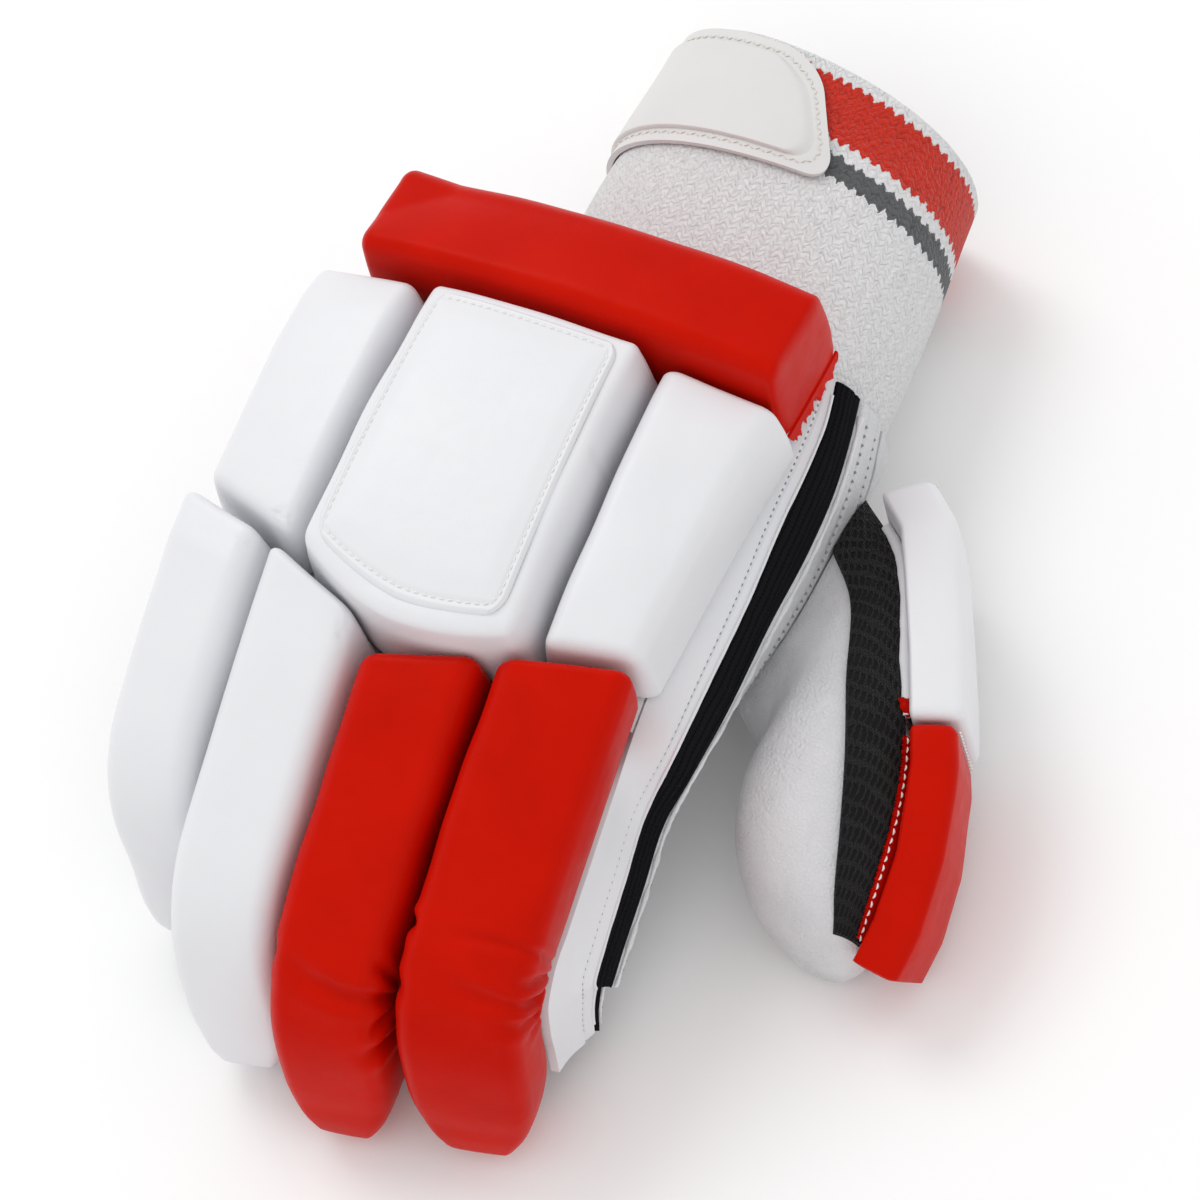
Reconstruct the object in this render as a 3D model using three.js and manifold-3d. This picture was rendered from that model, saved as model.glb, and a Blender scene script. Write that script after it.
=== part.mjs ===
// A right-hand cricket batting glove, lying palm down on a flat surface.
// X runs across the hand towards the thumb, Y along it towards the wrist and Z up. Millimetres.
import * as THREE from "three";
import Module from "manifold-3d";

const wasm = await Module();
wasm.setup();

// Driving dimensions
const GAP = 0.35; // clearance between pieces that touch
const PAD_GAP = 0.6; // the same under the pads, whose undersides are flatter than the hand
const WALL = 2; // leather and coated cloth
const KNIT = 3; // wall of the knitted cuff
const TRIM = 1.4; // thin pieces laid on others

const HAND_LENGTH = 104; // knuckles to wrist
const HAND_HEIGHT = 73; // top of the bare hand above the surface it lies on
const HAND_WIDTH = 134; // the measure that the places across the hand are shares of
const KNUCKLE_Y = -42; // where the fingers leave the hand
const ARCH = 0.067 * HAND_WIDTH; // how far the pads drop from the middle of the hand to its sides
const ROUNDNESS = 2.6; // 2 would make the hand's sections ellipses

const PAD_WIDTH = 0.22 * HAND_WIDTH; // a finger pad at its base
const PAD_HEIGHT = 19; // foam over a finger
const FINGER_LENGTH = 106; // knuckle to tip along the line under the pads
const PAD_EDGE = 5; // rounding along the top edges of the pads
const PAD_DRAFT = 1.5; // how far each side of a pad leans in towards the top
const STALL_WIDTH = 0.19 * HAND_WIDTH; // a finger's tube
const STALL_HEIGHT = 26;

const BLOCK_HEIGHT = 20.5; // foam over the back of the hand
const CENTRE_HEIGHT = 26;
const BLOCK_BACK = KNUCKLE_Y + 0.76 * HAND_LENGTH; // where the blocks end and the wrist bar starts
const BAR_HEIGHT = 28;
const BAR_WIDTH = 29;
const BAR_LENGTH = 0.832 * HAND_WIDTH;

const CUFF_LENGTH = 80;
const CUFF_WIDTH = 0.627 * HAND_WIDTH; // at the rim
const CUFF_HEIGHT = 64;
const CUFF_SINK = 1.5; // how far its round section is flattened where it lies
const STRAP = 2.6; // wall of the wrist strap
const STRAP_WIDTH = 32;

const THUMB_LENGTH = 1.077 * HAND_LENGTH;
const THUMB_REACH = 50; // how far its tip stands out from the hand
const THUMB_HEIGHT = 50;
const THUMB_PAD_WIDTH = 0.74 * THUMB_HEIGHT;
const THUMB_PAD_HEIGHT = 12.5;

const { PI, sin, cos, abs, sign, min, max, atan2, tan } = Math;
const degrees = PI / 180;
const mix = (a, b, share) => a + (b - a) * share;
const smooth = (value) => {
  const t = min(1, max(0, value));
  return t * t * (3 - 2 * t);
};
const steps = (count) => Array.from({ length: count + 1 }, (_, i) => i / count);
const point = (x, y, z) => new THREE.Vector3(x, y, z);

// Colours and finishes
const finish = (color, roughness) => new THREE.MeshStandardMaterial({ color, roughness, metalness: 0 });
const whiteHide = finish(0xf0f0f2, 0.45);
const redHide = finish(0xc8140a, 0.5);
const palmLeather = finish(0xdcdcde, 0.6);
const blackKnit = finish(0x15161a, 0.9);
const whiteKnit = finish(0xe9e8ec, 0.95);

// A closed body from two grids of points, one row for each station along it.
// With a hollow grid the body is a wall: wrapped rows make a tube, others a strip.
function surface(faces, rows, start, wrapped) {
  const width = rows[0].length;
  for (let i = 0; i + 1 < rows.length; i++)
    for (let j = 0; j < (wrapped ? width : width - 1); j++) {
      const k = (j + 1) % width;
      const at = (row, column) => start + row * width + column;
      faces.push([at(i, j), at(i, k), at(i + 1, k)], [at(i, j), at(i + 1, k), at(i + 1, j)]);
    }
}

function bodyOf(points, faces) {
  let volume = 0;
  for (const [a, b, c] of faces) volume += points[a].dot(points[b].clone().cross(points[c]));
  const turned = volume < 0 ? faces.map(([a, b, c]) => [a, c, b]) : faces;
  const geometry = new THREE.BufferGeometry().setFromPoints(points);
  geometry.setIndex(turned.flat());
  geometry.computeVertexNormals();
  return geometry;
}

const middleOf = (row) => row.reduce((sum, p) => sum.add(p), point(0, 0, 0)).divideScalar(row.length);

// A solid through wrapped rows, closed at both ends.
function loft(rows) {
  const points = rows.flat();
  const faces = [];
  const width = rows[0].length;
  surface(faces, rows, 0, true);
  const ends = [
    [rows[0], 0, 1],
    [rows.at(-1), (rows.length - 1) * width, -1],
  ];
  for (const [row, start, way] of ends) {
    const centre = points.push(middleOf(row)) - 1;
    for (let j = 0; j < width; j++) {
      const edge = [start + j, start + ((j + 1) % width)];
      if (way > 0) edge.reverse();
      faces.push([edge[0], edge[1], centre]);
    }
  }
  return bodyOf(points, faces);
}

// A tube wall, open at its first row and at its last one unless it is closed there.
function tube(outer, inner, closed) {
  const points = [...outer.flat(), ...inner.flat()];
  const faces = [];
  const width = outer[0].length;
  const inside = outer.length * width;
  const within = [];
  surface(faces, outer, 0, true);
  surface(within, inner, inside, true);
  faces.push(...within.map(([a, b, c]) => [a, c, b]));
  const last = (outer.length - 1) * width;
  const lastInside = inside + (inner.length - 1) * width;
  const centre = (rows) => points.push(middleOf(rows.at(-1))) - 1;
  const centres = closed ? [centre(outer), centre(inner)] : [];
  for (let j = 0; j < width; j++) {
    const k = (j + 1) % width;
    faces.push([j, inside + j, inside + k], [j, inside + k, k]);
    if (closed) {
      faces.push([last + j, last + k, centres[0]], [lastInside + k, lastInside + j, centres[1]]);
    } else {
      faces.push([last + j, lastInside + k, lastInside + j], [last + j, last + k, lastInside + k]);
    }
  }
  return bodyOf(points, faces);
}

// A strip of wall: each row runs along the outer face and back along the inner one.
function strip(outer, inner) {
  const rows = outer.map((row, i) => [...row, ...[...inner[i]].reverse()]);
  const points = rows.flat();
  const faces = [];
  const width = rows[0].length;
  const half = outer[0].length;
  surface(faces, rows, 0, true);
  for (const [start, way] of [[0, 1], [(rows.length - 1) * width, -1]])
    for (let j = 0; j + 1 < half; j++) {
      const [a, b, c, d] = [j, j + 1, width - 2 - j, width - 1 - j].map((k) => start + k);
      faces.push(...(way > 0 ? [[a, c, b], [a, d, c]] : [[a, b, c], [a, c, d]]));
    }
  return bodyOf(points, faces);
}

function solidOf(geometry) {
  const vertProperties = new Float32Array(geometry.getAttribute("position").array);
  const mesh = new wasm.Mesh({ numProp: 3, vertProperties, triVerts: new Uint32Array(geometry.index.array) });
  return new wasm.Manifold(mesh);
}

function geometryOf(solid) {
  const mesh = solid.getMesh();
  const geometry = new THREE.BufferGeometry();
  geometry.setAttribute("position", new THREE.BufferAttribute(new Float32Array(mesh.vertProperties), 3));
  geometry.setIndex(new THREE.BufferAttribute(new Uint32Array(mesh.triVerts), 1));
  geometry.computeVertexNormals();
  return geometry;
}

const glove = new THREE.Group();

function piece(name, geometry, material, parent = glove) {
  const mesh = new THREE.Mesh(geometry, material);
  mesh.name = name;
  parent.add(mesh);
  return mesh;
}

// What meets the surface lies flat on it.
const rested = (p, least = 0) => p.setZ(max(p.z, least));

// The hand from the knuckles to the wrist: its sides, underside and top as shares of its sizes.
// Then the angles, in degrees up from its thumb side, where the gusset, the knit, the binding and
// the palm begin.
const HAND = [
  {
    along: 0.0, left: -0.686, right: 0.286, low: 0.5, high: 0.915,
    gusset: 42, knit: 20, binding: -12, palm: -42,
  },
  {
    along: 0.17, left: -0.694, right: 0.289, low: 0.42, high: 0.955,
    gusset: 44, knit: 21, binding: -9, palm: -40,
  },
  {
    along: 0.4, left: -0.694, right: 0.295, low: 0.29, high: 0.985,
    gusset: 47, knit: 24, binding: 0, palm: -33,
  },
  {
    along: 0.62, left: -0.67, right: 0.3, low: 0.17, high: 0.985,
    gusset: 51, knit: 29, binding: 4, palm: -24,
  },
  {
    along: 0.77, left: -0.612, right: 0.3, low: 0.1, high: 0.965,
    gusset: 55, knit: 31.5, binding: 9.5, palm: -14,
  },
  {
    along: 0.89, left: -0.53, right: 0.297, low: 0.05, high: 0.94,
    gusset: 58, knit: 35, binding: 16.5, palm: -4,
  },
  {
    along: 1.0, left: -0.44, right: 0.292, low: 0.02, high: 0.92,
    gusset: 60, knit: 41, binding: 23, palm: 6,
  },
].map((row) => ({
  ...row,
  y: KNUCKLE_Y + row.along * HAND_LENGTH,
  left: row.left * HAND_WIDTH,
  right: row.right * HAND_WIDTH,
  low: row.low * HAND_HEIGHT,
  high: row.high * HAND_HEIGHT,
}));

function handAt(y) {
  if (y <= HAND[0].y) return HAND[0];
  const next = HAND.findIndex((row) => row.y >= y);
  if (next < 0) return HAND.at(-1);
  const [a, b] = [HAND[next - 1], HAND[next]];
  const share = (y - a.y) / (b.y - a.y);
  return Object.fromEntries(Object.keys(a).map((key) => [key, mix(a[key], b[key], share)]));
}

// A point of a rounded section at an angle from its thumb side, thinned by an inset.
function around(section, angle, inset = 0, roundness = ROUNDNESS) {
  const [c, s] = [cos(angle * degrees), sin(angle * degrees)];
  const half = (section.right - section.left) / 2 - inset;
  const tall = (section.high - section.low) / 2 - inset;
  const x = (section.right + section.left) / 2 + half * sign(c) * abs(c) ** (2 / roundness);
  const z = (section.high + section.low) / 2 + tall * sign(s) * abs(s) ** (2 / roundness);
  return point(x, section.y + (section.skew ?? 0) * ((x - (section.right + section.left) / 2) / half), z);
}

// Height of the underside of the pads, a shallow arch that clears the back of the hand.
function padBase(x, y, arch = 1) {
  const section = handAt(y);
  const share = abs((2 * x - section.left - section.right) / (section.right - section.left));
  const tall = (section.high - section.low) / 2;
  const round = tall * (1 - (1 - min(1, share) ** ROUNDNESS) ** (1 / ROUNDNESS));
  return section.high + PAD_GAP - min(round, ARCH * arch * min(share * share, 1.4));
}

const OUTER_TOP = 150; // angles of the seams on the little finger's side
const OUTER_LOW = 218;
const SLACK = 0.4; // half the angle left open at each seam of the hand

function handPanel(name, material, from, to, count) {
  const face = (inset) =>
    HAND.map((row) =>
      steps(count).map((share) => {
        const angle = mix(from(row) + SLACK, to(row) - SLACK, share);
        return rested(around(row, angle, inset), inset);
      }),
    );
  return piece(name, strip(face(0), face(WALL)), material);
}

handPanel("hand_back", whiteHide, (row) => row.gusset, () => OUTER_TOP, 12);
handPanel("outer_side", whiteHide, () => OUTER_TOP, () => OUTER_LOW, 4);
const palm = handPanel("palm", palmLeather, () => OUTER_LOW - 360, (row) => row.palm, 12);

// Section of a pad: how far across it and how high above its base, going round it.
function padSection(base, height, draft = PAD_DRAFT, edge = PAD_EDGE) {
  const half = base / 2;
  const top = half - draft;
  const lean = atan2(draft, height);
  const round = min(edge, height * 0.45, top * 0.8);
  const reach = round * tan((PI / 2 - lean) / 2);
  const arc = steps(3).map((share) => {
    const angle = mix(lean, PI / 2, share);
    return [top - reach + round * cos(angle), height - round + round * sin(angle)];
  });
  const right = [[half, 0], ...arc];
  const left = right.map(([x, z]) => [-x, z]).reverse();
  const crown = min(0.8, height * 0.05);
  const inner = top - reach;
  const over = [0.5, 0, -0.5].map((share) => [share * inner, height + crown * (1 - share * share)]);
  const under = [-0.5, 0, 0.5].map((share) => [share * half, 0]);
  return [...right, ...over, ...left, ...under];
}

// Rows along a pad's length, rounded at both ends.
function padRows(length, height, count, edge = PAD_EDGE) {
  const ends = [
    [0, height - edge],
    [edge * 0.3, height - edge * 0.3],
    [edge, height],
  ];
  const inner = steps(count).slice(1, -1);
  return [
    ...ends.map(([along, high]) => [along / length, high]),
    ...inner.map((share) => [mix(edge / length, 1 - edge / length, share), height]),
    ...ends.map(([along, high]) => [1 - along / length, high]).reverse(),
  ];
}

// A cushion over the hand. Its plan gives a place for a share across it and a share along it.
function cushion(name, material, shape) {
  const { plan, width, length, height, count, draft = PAD_DRAFT, arch = 1, rise = 0 } = shape;
  const rows = padRows(length, height, count).map(([along, high]) =>
    padSection(width, high + rise * smooth(along * 1.1), draft).map(([across, up]) => {
      const [x, y] = plan(across / width + 0.5, along);
      return point(x, y, padBase(x, y, arch) + up);
    }),
  );
  return piece(name, loft(rows), material);
}

// Plans of the blocks over the hand, in shares of its width: left and right at the knuckles and at
// the back, how far each front corner stands behind the knuckles, and how far a middle point of
// the front stands forward.
const BLOCKS = [
  {
    name: "outer", front: [-0.698, -0.46], frontIn: [0.131, 0.052], back: [-0.7, -0.462],
    tip: 0, draft: 2.5, rise: 4,
  },
  {
    name: "centre", front: [-0.457, 0.016], frontIn: [0.056, 0.011], back: [-0.458, -0.009],
    tip: 0.086, draft: 3.5, rise: 0,
  },
  {
    name: "inner", front: [0.02, 0.205], frontIn: [0.015, 0.063], back: [-0.005, 0.235],
    tip: 0, draft: 2, rise: 0,
  },
].map((row) => ({
  ...row,
  frontLeft: [row.front[0] * HAND_WIDTH, KNUCKLE_Y + row.frontIn[0] * HAND_WIDTH],
  frontRight: [row.front[1] * HAND_WIDTH, KNUCKLE_Y + row.frontIn[1] * HAND_WIDTH],
  backLeft: [row.back[0] * HAND_WIDTH, BLOCK_BACK],
  backRight: [row.back[1] * HAND_WIDTH, BLOCK_BACK],
  tip: row.tip * HAND_WIDTH,
  height: row.name === "centre" ? CENTRE_HEIGHT : BLOCK_HEIGHT,
}));

const corner = (a, b, share) => [mix(a[0], b[0], share), mix(a[1], b[1], share)];

function blockPlan(block) {
  return (across, along) => {
    const front = corner(block.frontLeft, block.frontRight, across);
    const back = corner(block.backLeft, block.backRight, across);
    const [x, y] = corner(front, back, along);
    return [x, y - block.tip * (1 - abs(2 * across - 1)) * (1 - smooth(along / 0.4))];
  };
}

for (const block of BLOCKS) {
  const width = block.frontRight[0] - block.frontLeft[0];
  const length = BLOCK_BACK - block.frontLeft[1];
  const shape = { ...block, plan: blockPlan(block), width, length, count: 4 };
  cushion(`knuckle_block_${block.name}`, whiteHide, shape);
}

// The stitched panel on the middle block.
const BADGE = { left: 0.115, right: 0.885, front: 0.085, back: 0.94 };
{
  const block = BLOCKS[1];
  const plan = blockPlan(block);
  const face = (lift) =>
    steps(6).map((along) =>
      steps(6).map((across) => {
        const [x, y] = plan(mix(BADGE.left, BADGE.right, across), mix(BADGE.front, BADGE.back, along));
        return point(x, y, padBase(x, y) + CENTRE_HEIGHT + 1 + lift);
      }),
    );
  piece("badge_panel", strip(face(TRIM), face(0)), whiteHide);
}

// The roll across the wrist. Slant is how far its ends differ along the hand.
const BAR = { left: -0.619, front: 1.2, slant: 2, arch: 0.55 };
cushion("wrist_bar", redHide, {
  plan: (across, along) => [
    BAR.left * HAND_WIDTH + along * BAR_LENGTH,
    BLOCK_BACK + BAR.front + (0.5 - along) * BAR.slant + GAP + across * BAR_WIDTH,
  ],
  width: BAR_WIDTH,
  length: BAR_LENGTH,
  height: BAR_HEIGHT,
  count: 8,
  arch: BAR.arch,
});

const FIRST_DIP = 22; // how steeply the fingers leave the hand

// Each finger. In shares of the hand's width: its place across, how far before the knuckles its
// pad starts, how much that end slants. Then its roll and bends in degrees, its length as a share.
const FINGERS = [
  {
    name: "index", x: 0.0664, start: 0.0179, skew: 0.0634, wide: 1.1, roll: 8,
    splay: 1, long: 1.03, dip: 78, from: 0.5, turn: 13,
  },
  {
    name: "middle", x: -0.1687, start: -0.0463, skew: 0.0597, wide: 1.0, roll: 1,
    splay: 1.8, long: 1.06, dip: 78, from: 0.52, turn: 9,
  },
  {
    name: "ring", x: -0.3903, start: 0.0134, skew: -0.097, wide: 0.975, roll: -5,
    splay: 2.5, long: 1.04, dip: 78, from: 0.49, turn: 9,
  },
  {
    name: "little", x: -0.5945, start: 0.0866, skew: -0.0627, wide: 0.87, roll: -12,
    splay: 3, long: 0.82, dip: 80, from: 0.36, turn: 8,
  },
].map((row) => ({
  ...row,
  x: row.x * HAND_WIDTH,
  start: row.start * HAND_WIDTH,
  skew: row.skew * HAND_WIDTH,
  length: row.long * FINGER_LENGTH,
  bend: [FIRST_DIP, row.dip],
}));
const BEND_OVER = 0.26; // share of a finger's length over which it bends
const BACK_RISE = 0.2; // slope of the back of the hand behind the knuckles

// The line between a finger and its pad, as a list of frames from the knuckle on.
function fingerPath(finger) {
  const count = 90;
  const step = finger.length / count;
  const tilt = finger.roll * degrees;
  const at = point(finger.x, KNUCKLE_Y - GAP, padBase(finger.x, KNUCKLE_Y));
  const path = steps(count).map((share) => {
    const bent = smooth((share - finger.from) / BEND_OVER);
    const heading = (finger.splay + bent * finger.turn) * degrees;
    const side = point(cos(heading) * cos(tilt), sin(heading) * cos(tilt), -sin(tilt));
    const pitch = mix(...finger.bend, bent) * degrees;
    const along = point(sin(heading) * cos(pitch), -cos(heading) * cos(pitch), -sin(pitch));
    const lean = pitch * smooth((share * finger.length) / 30);
    const facing = point(sin(heading) * cos(lean), -cos(heading) * cos(lean), -sin(lean));
    const frame = { at: at.clone(), side, along, up: facing.cross(side).normalize().negate() };
    if (frame.up.z < 0) frame.up.negate();
    at.addScaledVector(along, step);
    return frame;
  });
  return (distance) => {
    if (distance >= 0) return path[min(count, Math.round(distance / step))];
    const first = path[0];
    return { ...first, at: first.at.clone().add(point(0, -distance, -distance * BACK_RISE)) };
  };
}

function placed(frame, across, up, forward = 0) {
  return frame.at
    .clone()
    .addScaledVector(frame.side, across)
    .addScaledVector(frame.up, up)
    .addScaledVector(frame.along, forward);
}

// Stations along a finger: how wide and how thick its pad is there, and the tube's size.
const FINGER_STATIONS = [
  { along: 0.14, width: 1.0, height: 1.0, stall: 1.0 },
  { along: 0.3, width: 1.0, height: 1.0, stall: 1.0 },
  { along: 0.44, width: 1.0, height: 1.0, stall: 0.98 },
  { along: 0.54, width: 0.99, height: 0.99, stall: 0.95 },
  { along: 0.62, width: 0.975, height: 0.97, stall: 0.9 },
  { along: 0.7, width: 0.96, height: 0.97, stall: 0.82 },
  { along: 0.78, width: 0.945, height: 0.97, stall: 0.7 },
  { along: 0.86, width: 0.92, height: 0.93, stall: 0.5 },
  { along: 0.93, width: 0.85, height: 0.84 },
  { along: 0.98, width: 0.72, height: 0.68 },
  { along: 1.0, width: 0.56, height: 0.5 },
];
const PAD_LIFT = 0.9; // room under a pad's flat base

for (const finger of FINGERS) {
  const path = fingerPath(finger);
  const first = -finger.start;
  const starts = [
    { at: first, width: 0.97, height: 1 - PAD_EDGE / PAD_HEIGHT },
    { at: first + PAD_EDGE * 0.3, width: 1, height: 1 - (PAD_EDGE / PAD_HEIGHT) * 0.3 },
    { at: first + PAD_EDGE, width: 1, height: 1 },
  ];
  const stations = [
    ...starts,
    ...FINGER_STATIONS.map((row) => ({ ...row, at: row.along * finger.length })),
  ].filter((row, i) => i < 3 || row.at > first + PAD_EDGE + 2);
  const rows = stations.map((station) => {
    const frame = path(station.at);
    const fade = max(0, 1 - (station.at - first) / 45);
    const width = PAD_WIDTH * finger.wide;
    return padSection(width * station.width, PAD_HEIGHT * station.height).map(([across, up]) =>
      rested(placed(frame, across, up + PAD_LIFT, (-across / width) * finger.skew * fade)),
    );
  });
  const hide = finger.name === "index" || finger.name === "middle" ? redHide : whiteHide;
  piece(`${finger.name}_pad`, loft(rows), hide);

  // The tube's turned end is kept off the hand.
  const clear = ((STALL_WIDTH / 2) * sin(finger.splay * degrees)) / finger.length;
  const tubeRows = [{ along: clear, stall: 1 }, ...FINGER_STATIONS.filter((row) => row.stall)];
  const wall = (inset) =>
    tubeRows.map((station, i) => {
      const frame = path(station.along * finger.length);
      const last = i === tubeRows.length - 1;
      const half = (STALL_WIDTH / 2) * min(1, finger.wide) * station.stall - inset;
      const tall = (STALL_HEIGHT / 2) * station.stall;
      return steps(12)
        .slice(1)
        .map((share) => {
          const [c, s] = [cos(share * 2 * PI), sin(share * 2 * PI)];
          const across = half * sign(c) * abs(c) ** 0.8;
          const up = (tall - inset) * sign(s) * abs(s) ** 0.8 - tall;
          return rested(placed(frame, across, up, last ? -inset : 0), inset);
        });
    });
  piece(`${finger.name}_stall`, tube(wall(0), wall(WALL), true), palmLeather);
}

// Panels down the thumb side of the hand, carried on along the index finger outside its tube.
// First and last are shares of the finger's depth there.
const SIDE_PANELS = [
  { name: "side_gusset", high: "gusset", low: "knit", first: 0, last: 0.47, hide: whiteHide },
  { name: "side_knit", high: "knit", low: "binding", first: 0.48, last: 0.79, hide: blackKnit },
  { name: "side_binding", high: "binding", low: "palm", first: 0.82, last: 1.16, hide: whiteHide },
];
// How far the side of the index finger stands out at a share of its depth.
const SIDE_PROFILE = [
  { down: 0, out: 0.3 },
  { down: 0.25, out: 2.9 },
  { down: 0.48, out: 6.8 },
  { down: 0.7, out: 10 },
  { down: 0.82, out: 10.6 },
  { down: 0.95, out: 9 },
  { down: 1.06, out: 5.2 },
  { down: 1.2, out: -1 },
];
const SIDE_DEPTH = STALL_HEIGHT + 3;
const SIDE_REACH = 8; // stations along the finger
const SIDE_TAPER = 0.35; // how much smaller the side is at the last station

function sideOut(down) {
  const next = max(1, SIDE_PROFILE.findIndex((row) => row.down >= down));
  const [a, b] = [SIDE_PROFILE[next - 1], SIDE_PROFILE[next]];
  return mix(a.out, b.out, (down - a.down) / (b.down - a.down));
}

function sideRows(panel, inset) {
  const index = FINGERS[0];
  const path = fingerPath(index);
  const count = 4;
  const onHand = [...HAND].reverse().map((row) =>
    steps(count).map((share) => {
      const angle = mix(row[panel.high] - SLACK, row[panel.low] + SLACK, share);
      return rested(around(row, angle, inset), inset);
    }),
  );
  const onFinger = FINGER_STATIONS.slice(0, SIDE_REACH).map((station, i) => {
    const frame = path(station.along * index.length);
    const size = 1 - SIDE_TAPER * smooth((i - 4) / (SIDE_REACH - 5));
    return steps(count).map((share) => {
      const down = mix(panel.first, panel.last, share);
      const out = (PAD_WIDTH * index.wide) / 2 + GAP + sideOut(down) * size;
      return rested(placed(frame, out - inset, -GAP - down * SIDE_DEPTH * size), inset);
    });
  });
  return [...onHand, ...onFinger];
}

const sidePieces = SIDE_PANELS.map((panel) =>
  piece(panel.name, strip(sideRows(panel, 0), sideRows(panel, WALL)), panel.hide),
);

// The knitted cuff.
const CUFF = [
  { along: 0, middle: -0.13, half: 0.555, high: 1.03 },
  { along: 0.2, middle: -0.13, half: 0.552, high: 1.02 },
  { along: 0.45, middle: -0.135, half: 0.545, high: 1.0 },
  { along: 0.7, middle: -0.135, half: 0.525, high: 0.985 },
  { along: 0.88, middle: -0.135, half: 0.508, high: 0.975 },
  { along: 1, middle: -0.135, half: 0.5, high: 0.98 },
].map((row) => ({
  y: KNUCKLE_Y + HAND_LENGTH + GAP + row.along * CUFF_LENGTH,
  left: (row.middle - row.half) * CUFF_WIDTH,
  right: (row.middle + row.half) * CUFF_WIDTH,
  low: -CUFF_SINK,
  high: row.high * CUFF_HEIGHT,
  skew: -6 * row.along,
}));
const CUFF_ROUNDNESS = 2.2;
const cuffWall = (inset) =>
  CUFF.map((row) =>
    steps(28)
      .slice(1)
      .map((share) => rested(around(row, share * 360, inset, CUFF_ROUNDNESS), inset)),
  );
piece("cuff", tube(cuffWall(0), cuffWall(KNIT), false), whiteKnit);

function cuffAt(along) {
  const y = CUFF[0].y + along * CUFF_LENGTH;
  const next = max(1, CUFF.findIndex((row) => row.y >= y - 1e-6));
  const [a, b] = [CUFF[next - 1], CUFF[next]];
  const share = (y - a.y) / (b.y - a.y);
  return Object.fromEntries(Object.keys(a).map((key) => [key, mix(a[key], b[key], share)]));
}

// The strap round the cuff: its free end slants and has rounded corners.
const STRAP_PLACE = { along: 0.985, from: 81, lean: 20, to: 212, corner: 10, skew: 4 };
{
  const first = STRAP_PLACE.along - STRAP_WIDTH / CUFF_LENGTH;
  const shares = [0, 0.04, 0.13, 0.26, 0.5, 0.74, 0.87, 0.96, 1];
  const count = 14;
  const face = (lift) =>
    shares.map((share) => {
      const row = cuffAt(mix(first, STRAP_PLACE.along, share));
      row.skew += STRAP_PLACE.skew * (1 - share);
      const edge = min(share, 1 - share) / 0.26;
      const round = STRAP_PLACE.corner * (1 - Math.sqrt(1 - max(0, 1 - edge) ** 2));
      const from = STRAP_PLACE.from - STRAP_PLACE.lean * (1 - share) + round;
      return steps(count).map((part) =>
        rested(around(row, mix(from, STRAP_PLACE.to, part), -lift, CUFF_ROUNDNESS), 0),
      );
    });
  piece("wrist_strap", strip(face(STRAP + 2 * GAP), face(2 * GAP)), whiteHide);
}

// The thumb: ribs from its root on the side of the hand to its tip. The two ends of each rib are
// shares of the reach and the length; mid and tall give its height as shares of the thumb's own.
const THUMB_X = HAND[3].right + GAP;
const THUMB_Y = KNUCKLE_Y + 0.885 * HAND_LENGTH;
const RIBS = [
  { innerOut: 0, innerOn: 0.56, outerOut: 0, outerOn: 0.02, innerMid: 0.48, outerMid: 0.5, tall: 0.56 },
  {
    innerOut: 0.04, innerOn: 0.64, outerOut: 0.3, outerOn: 0.14,
    innerMid: 0.48, outerMid: 0.58, tall: 0.7,
  },
  {
    innerOut: 0.05, innerOn: 0.74, outerOut: 0.58, outerOn: 0.39,
    innerMid: 0.49, outerMid: 0.59, tall: 0.82,
  },
  {
    innerOut: 0.1, innerOn: 0.83, outerOut: 0.78, outerOn: 0.59,
    innerMid: 0.46, outerMid: 0.54, tall: 0.84,
  },
  {
    innerOut: 0.2, innerOn: 0.905, outerOut: 0.87, outerOn: 0.75,
    innerMid: 0.41, outerMid: 0.46, tall: 0.78,
  },
  {
    innerOut: 0.34, innerOn: 0.96, outerOut: 0.89, outerOn: 0.875,
    innerMid: 0.35, outerMid: 0.38, tall: 0.68,
  },
  {
    innerOut: 0.5, innerOn: 0.99, outerOut: 0.86, outerOn: 0.955,
    innerMid: 0.27, outerMid: 0.29, tall: 0.5,
  },
  {
    innerOut: 0.6, innerOn: 1.0, outerOut: 0.79, outerOn: 0.99,
    innerMid: 0.22, outerMid: 0.22, tall: 0.26,
  },
].map((row) => {
  const end = (out, on, mid) =>
    point(THUMB_X + out * THUMB_REACH, THUMB_Y - on * THUMB_LENGTH, mid * THUMB_HEIGHT);
  return {
    inner: end(row.innerOut, row.innerOn, row.innerMid),
    outer: end(row.outerOut, row.outerOn, row.outerMid),
    tall: (row.tall * THUMB_HEIGHT) / 2,
  };
});

// How far the side of the hand stands out at a place along it and a height.
function handSide(y, z) {
  const row = handAt(y);
  const tall = (row.high - row.low) / 2;
  const share = min(0.96, abs(z - (row.high + row.low) / 2) / tall);
  const half = (row.right - row.left) / 2;
  return (row.right + row.left) / 2 + half * (1 - share ** ROUNDNESS) ** (1 / ROUNDNESS);
}

function ribPoint(rib, angle, inset, root = false) {
  const [c, s] = [cos(angle * degrees), sin(angle * degrees)];
  const half = rib.outer.distanceTo(rib.inner) / 2;
  const share = 0.5 + (0.5 * (half - inset) * sign(c) * abs(c) ** 0.85) / half;
  const p = rib.inner.clone().lerp(rib.outer, share);
  p.z += (rib.tall - inset) * sign(s) * abs(s) ** 0.85;
  if (root) p.x = max(handSide(p.y, p.z), handAt(p.y).right - 7) + 2 * GAP;
  return rested(p, max(0, inset));
}

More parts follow.
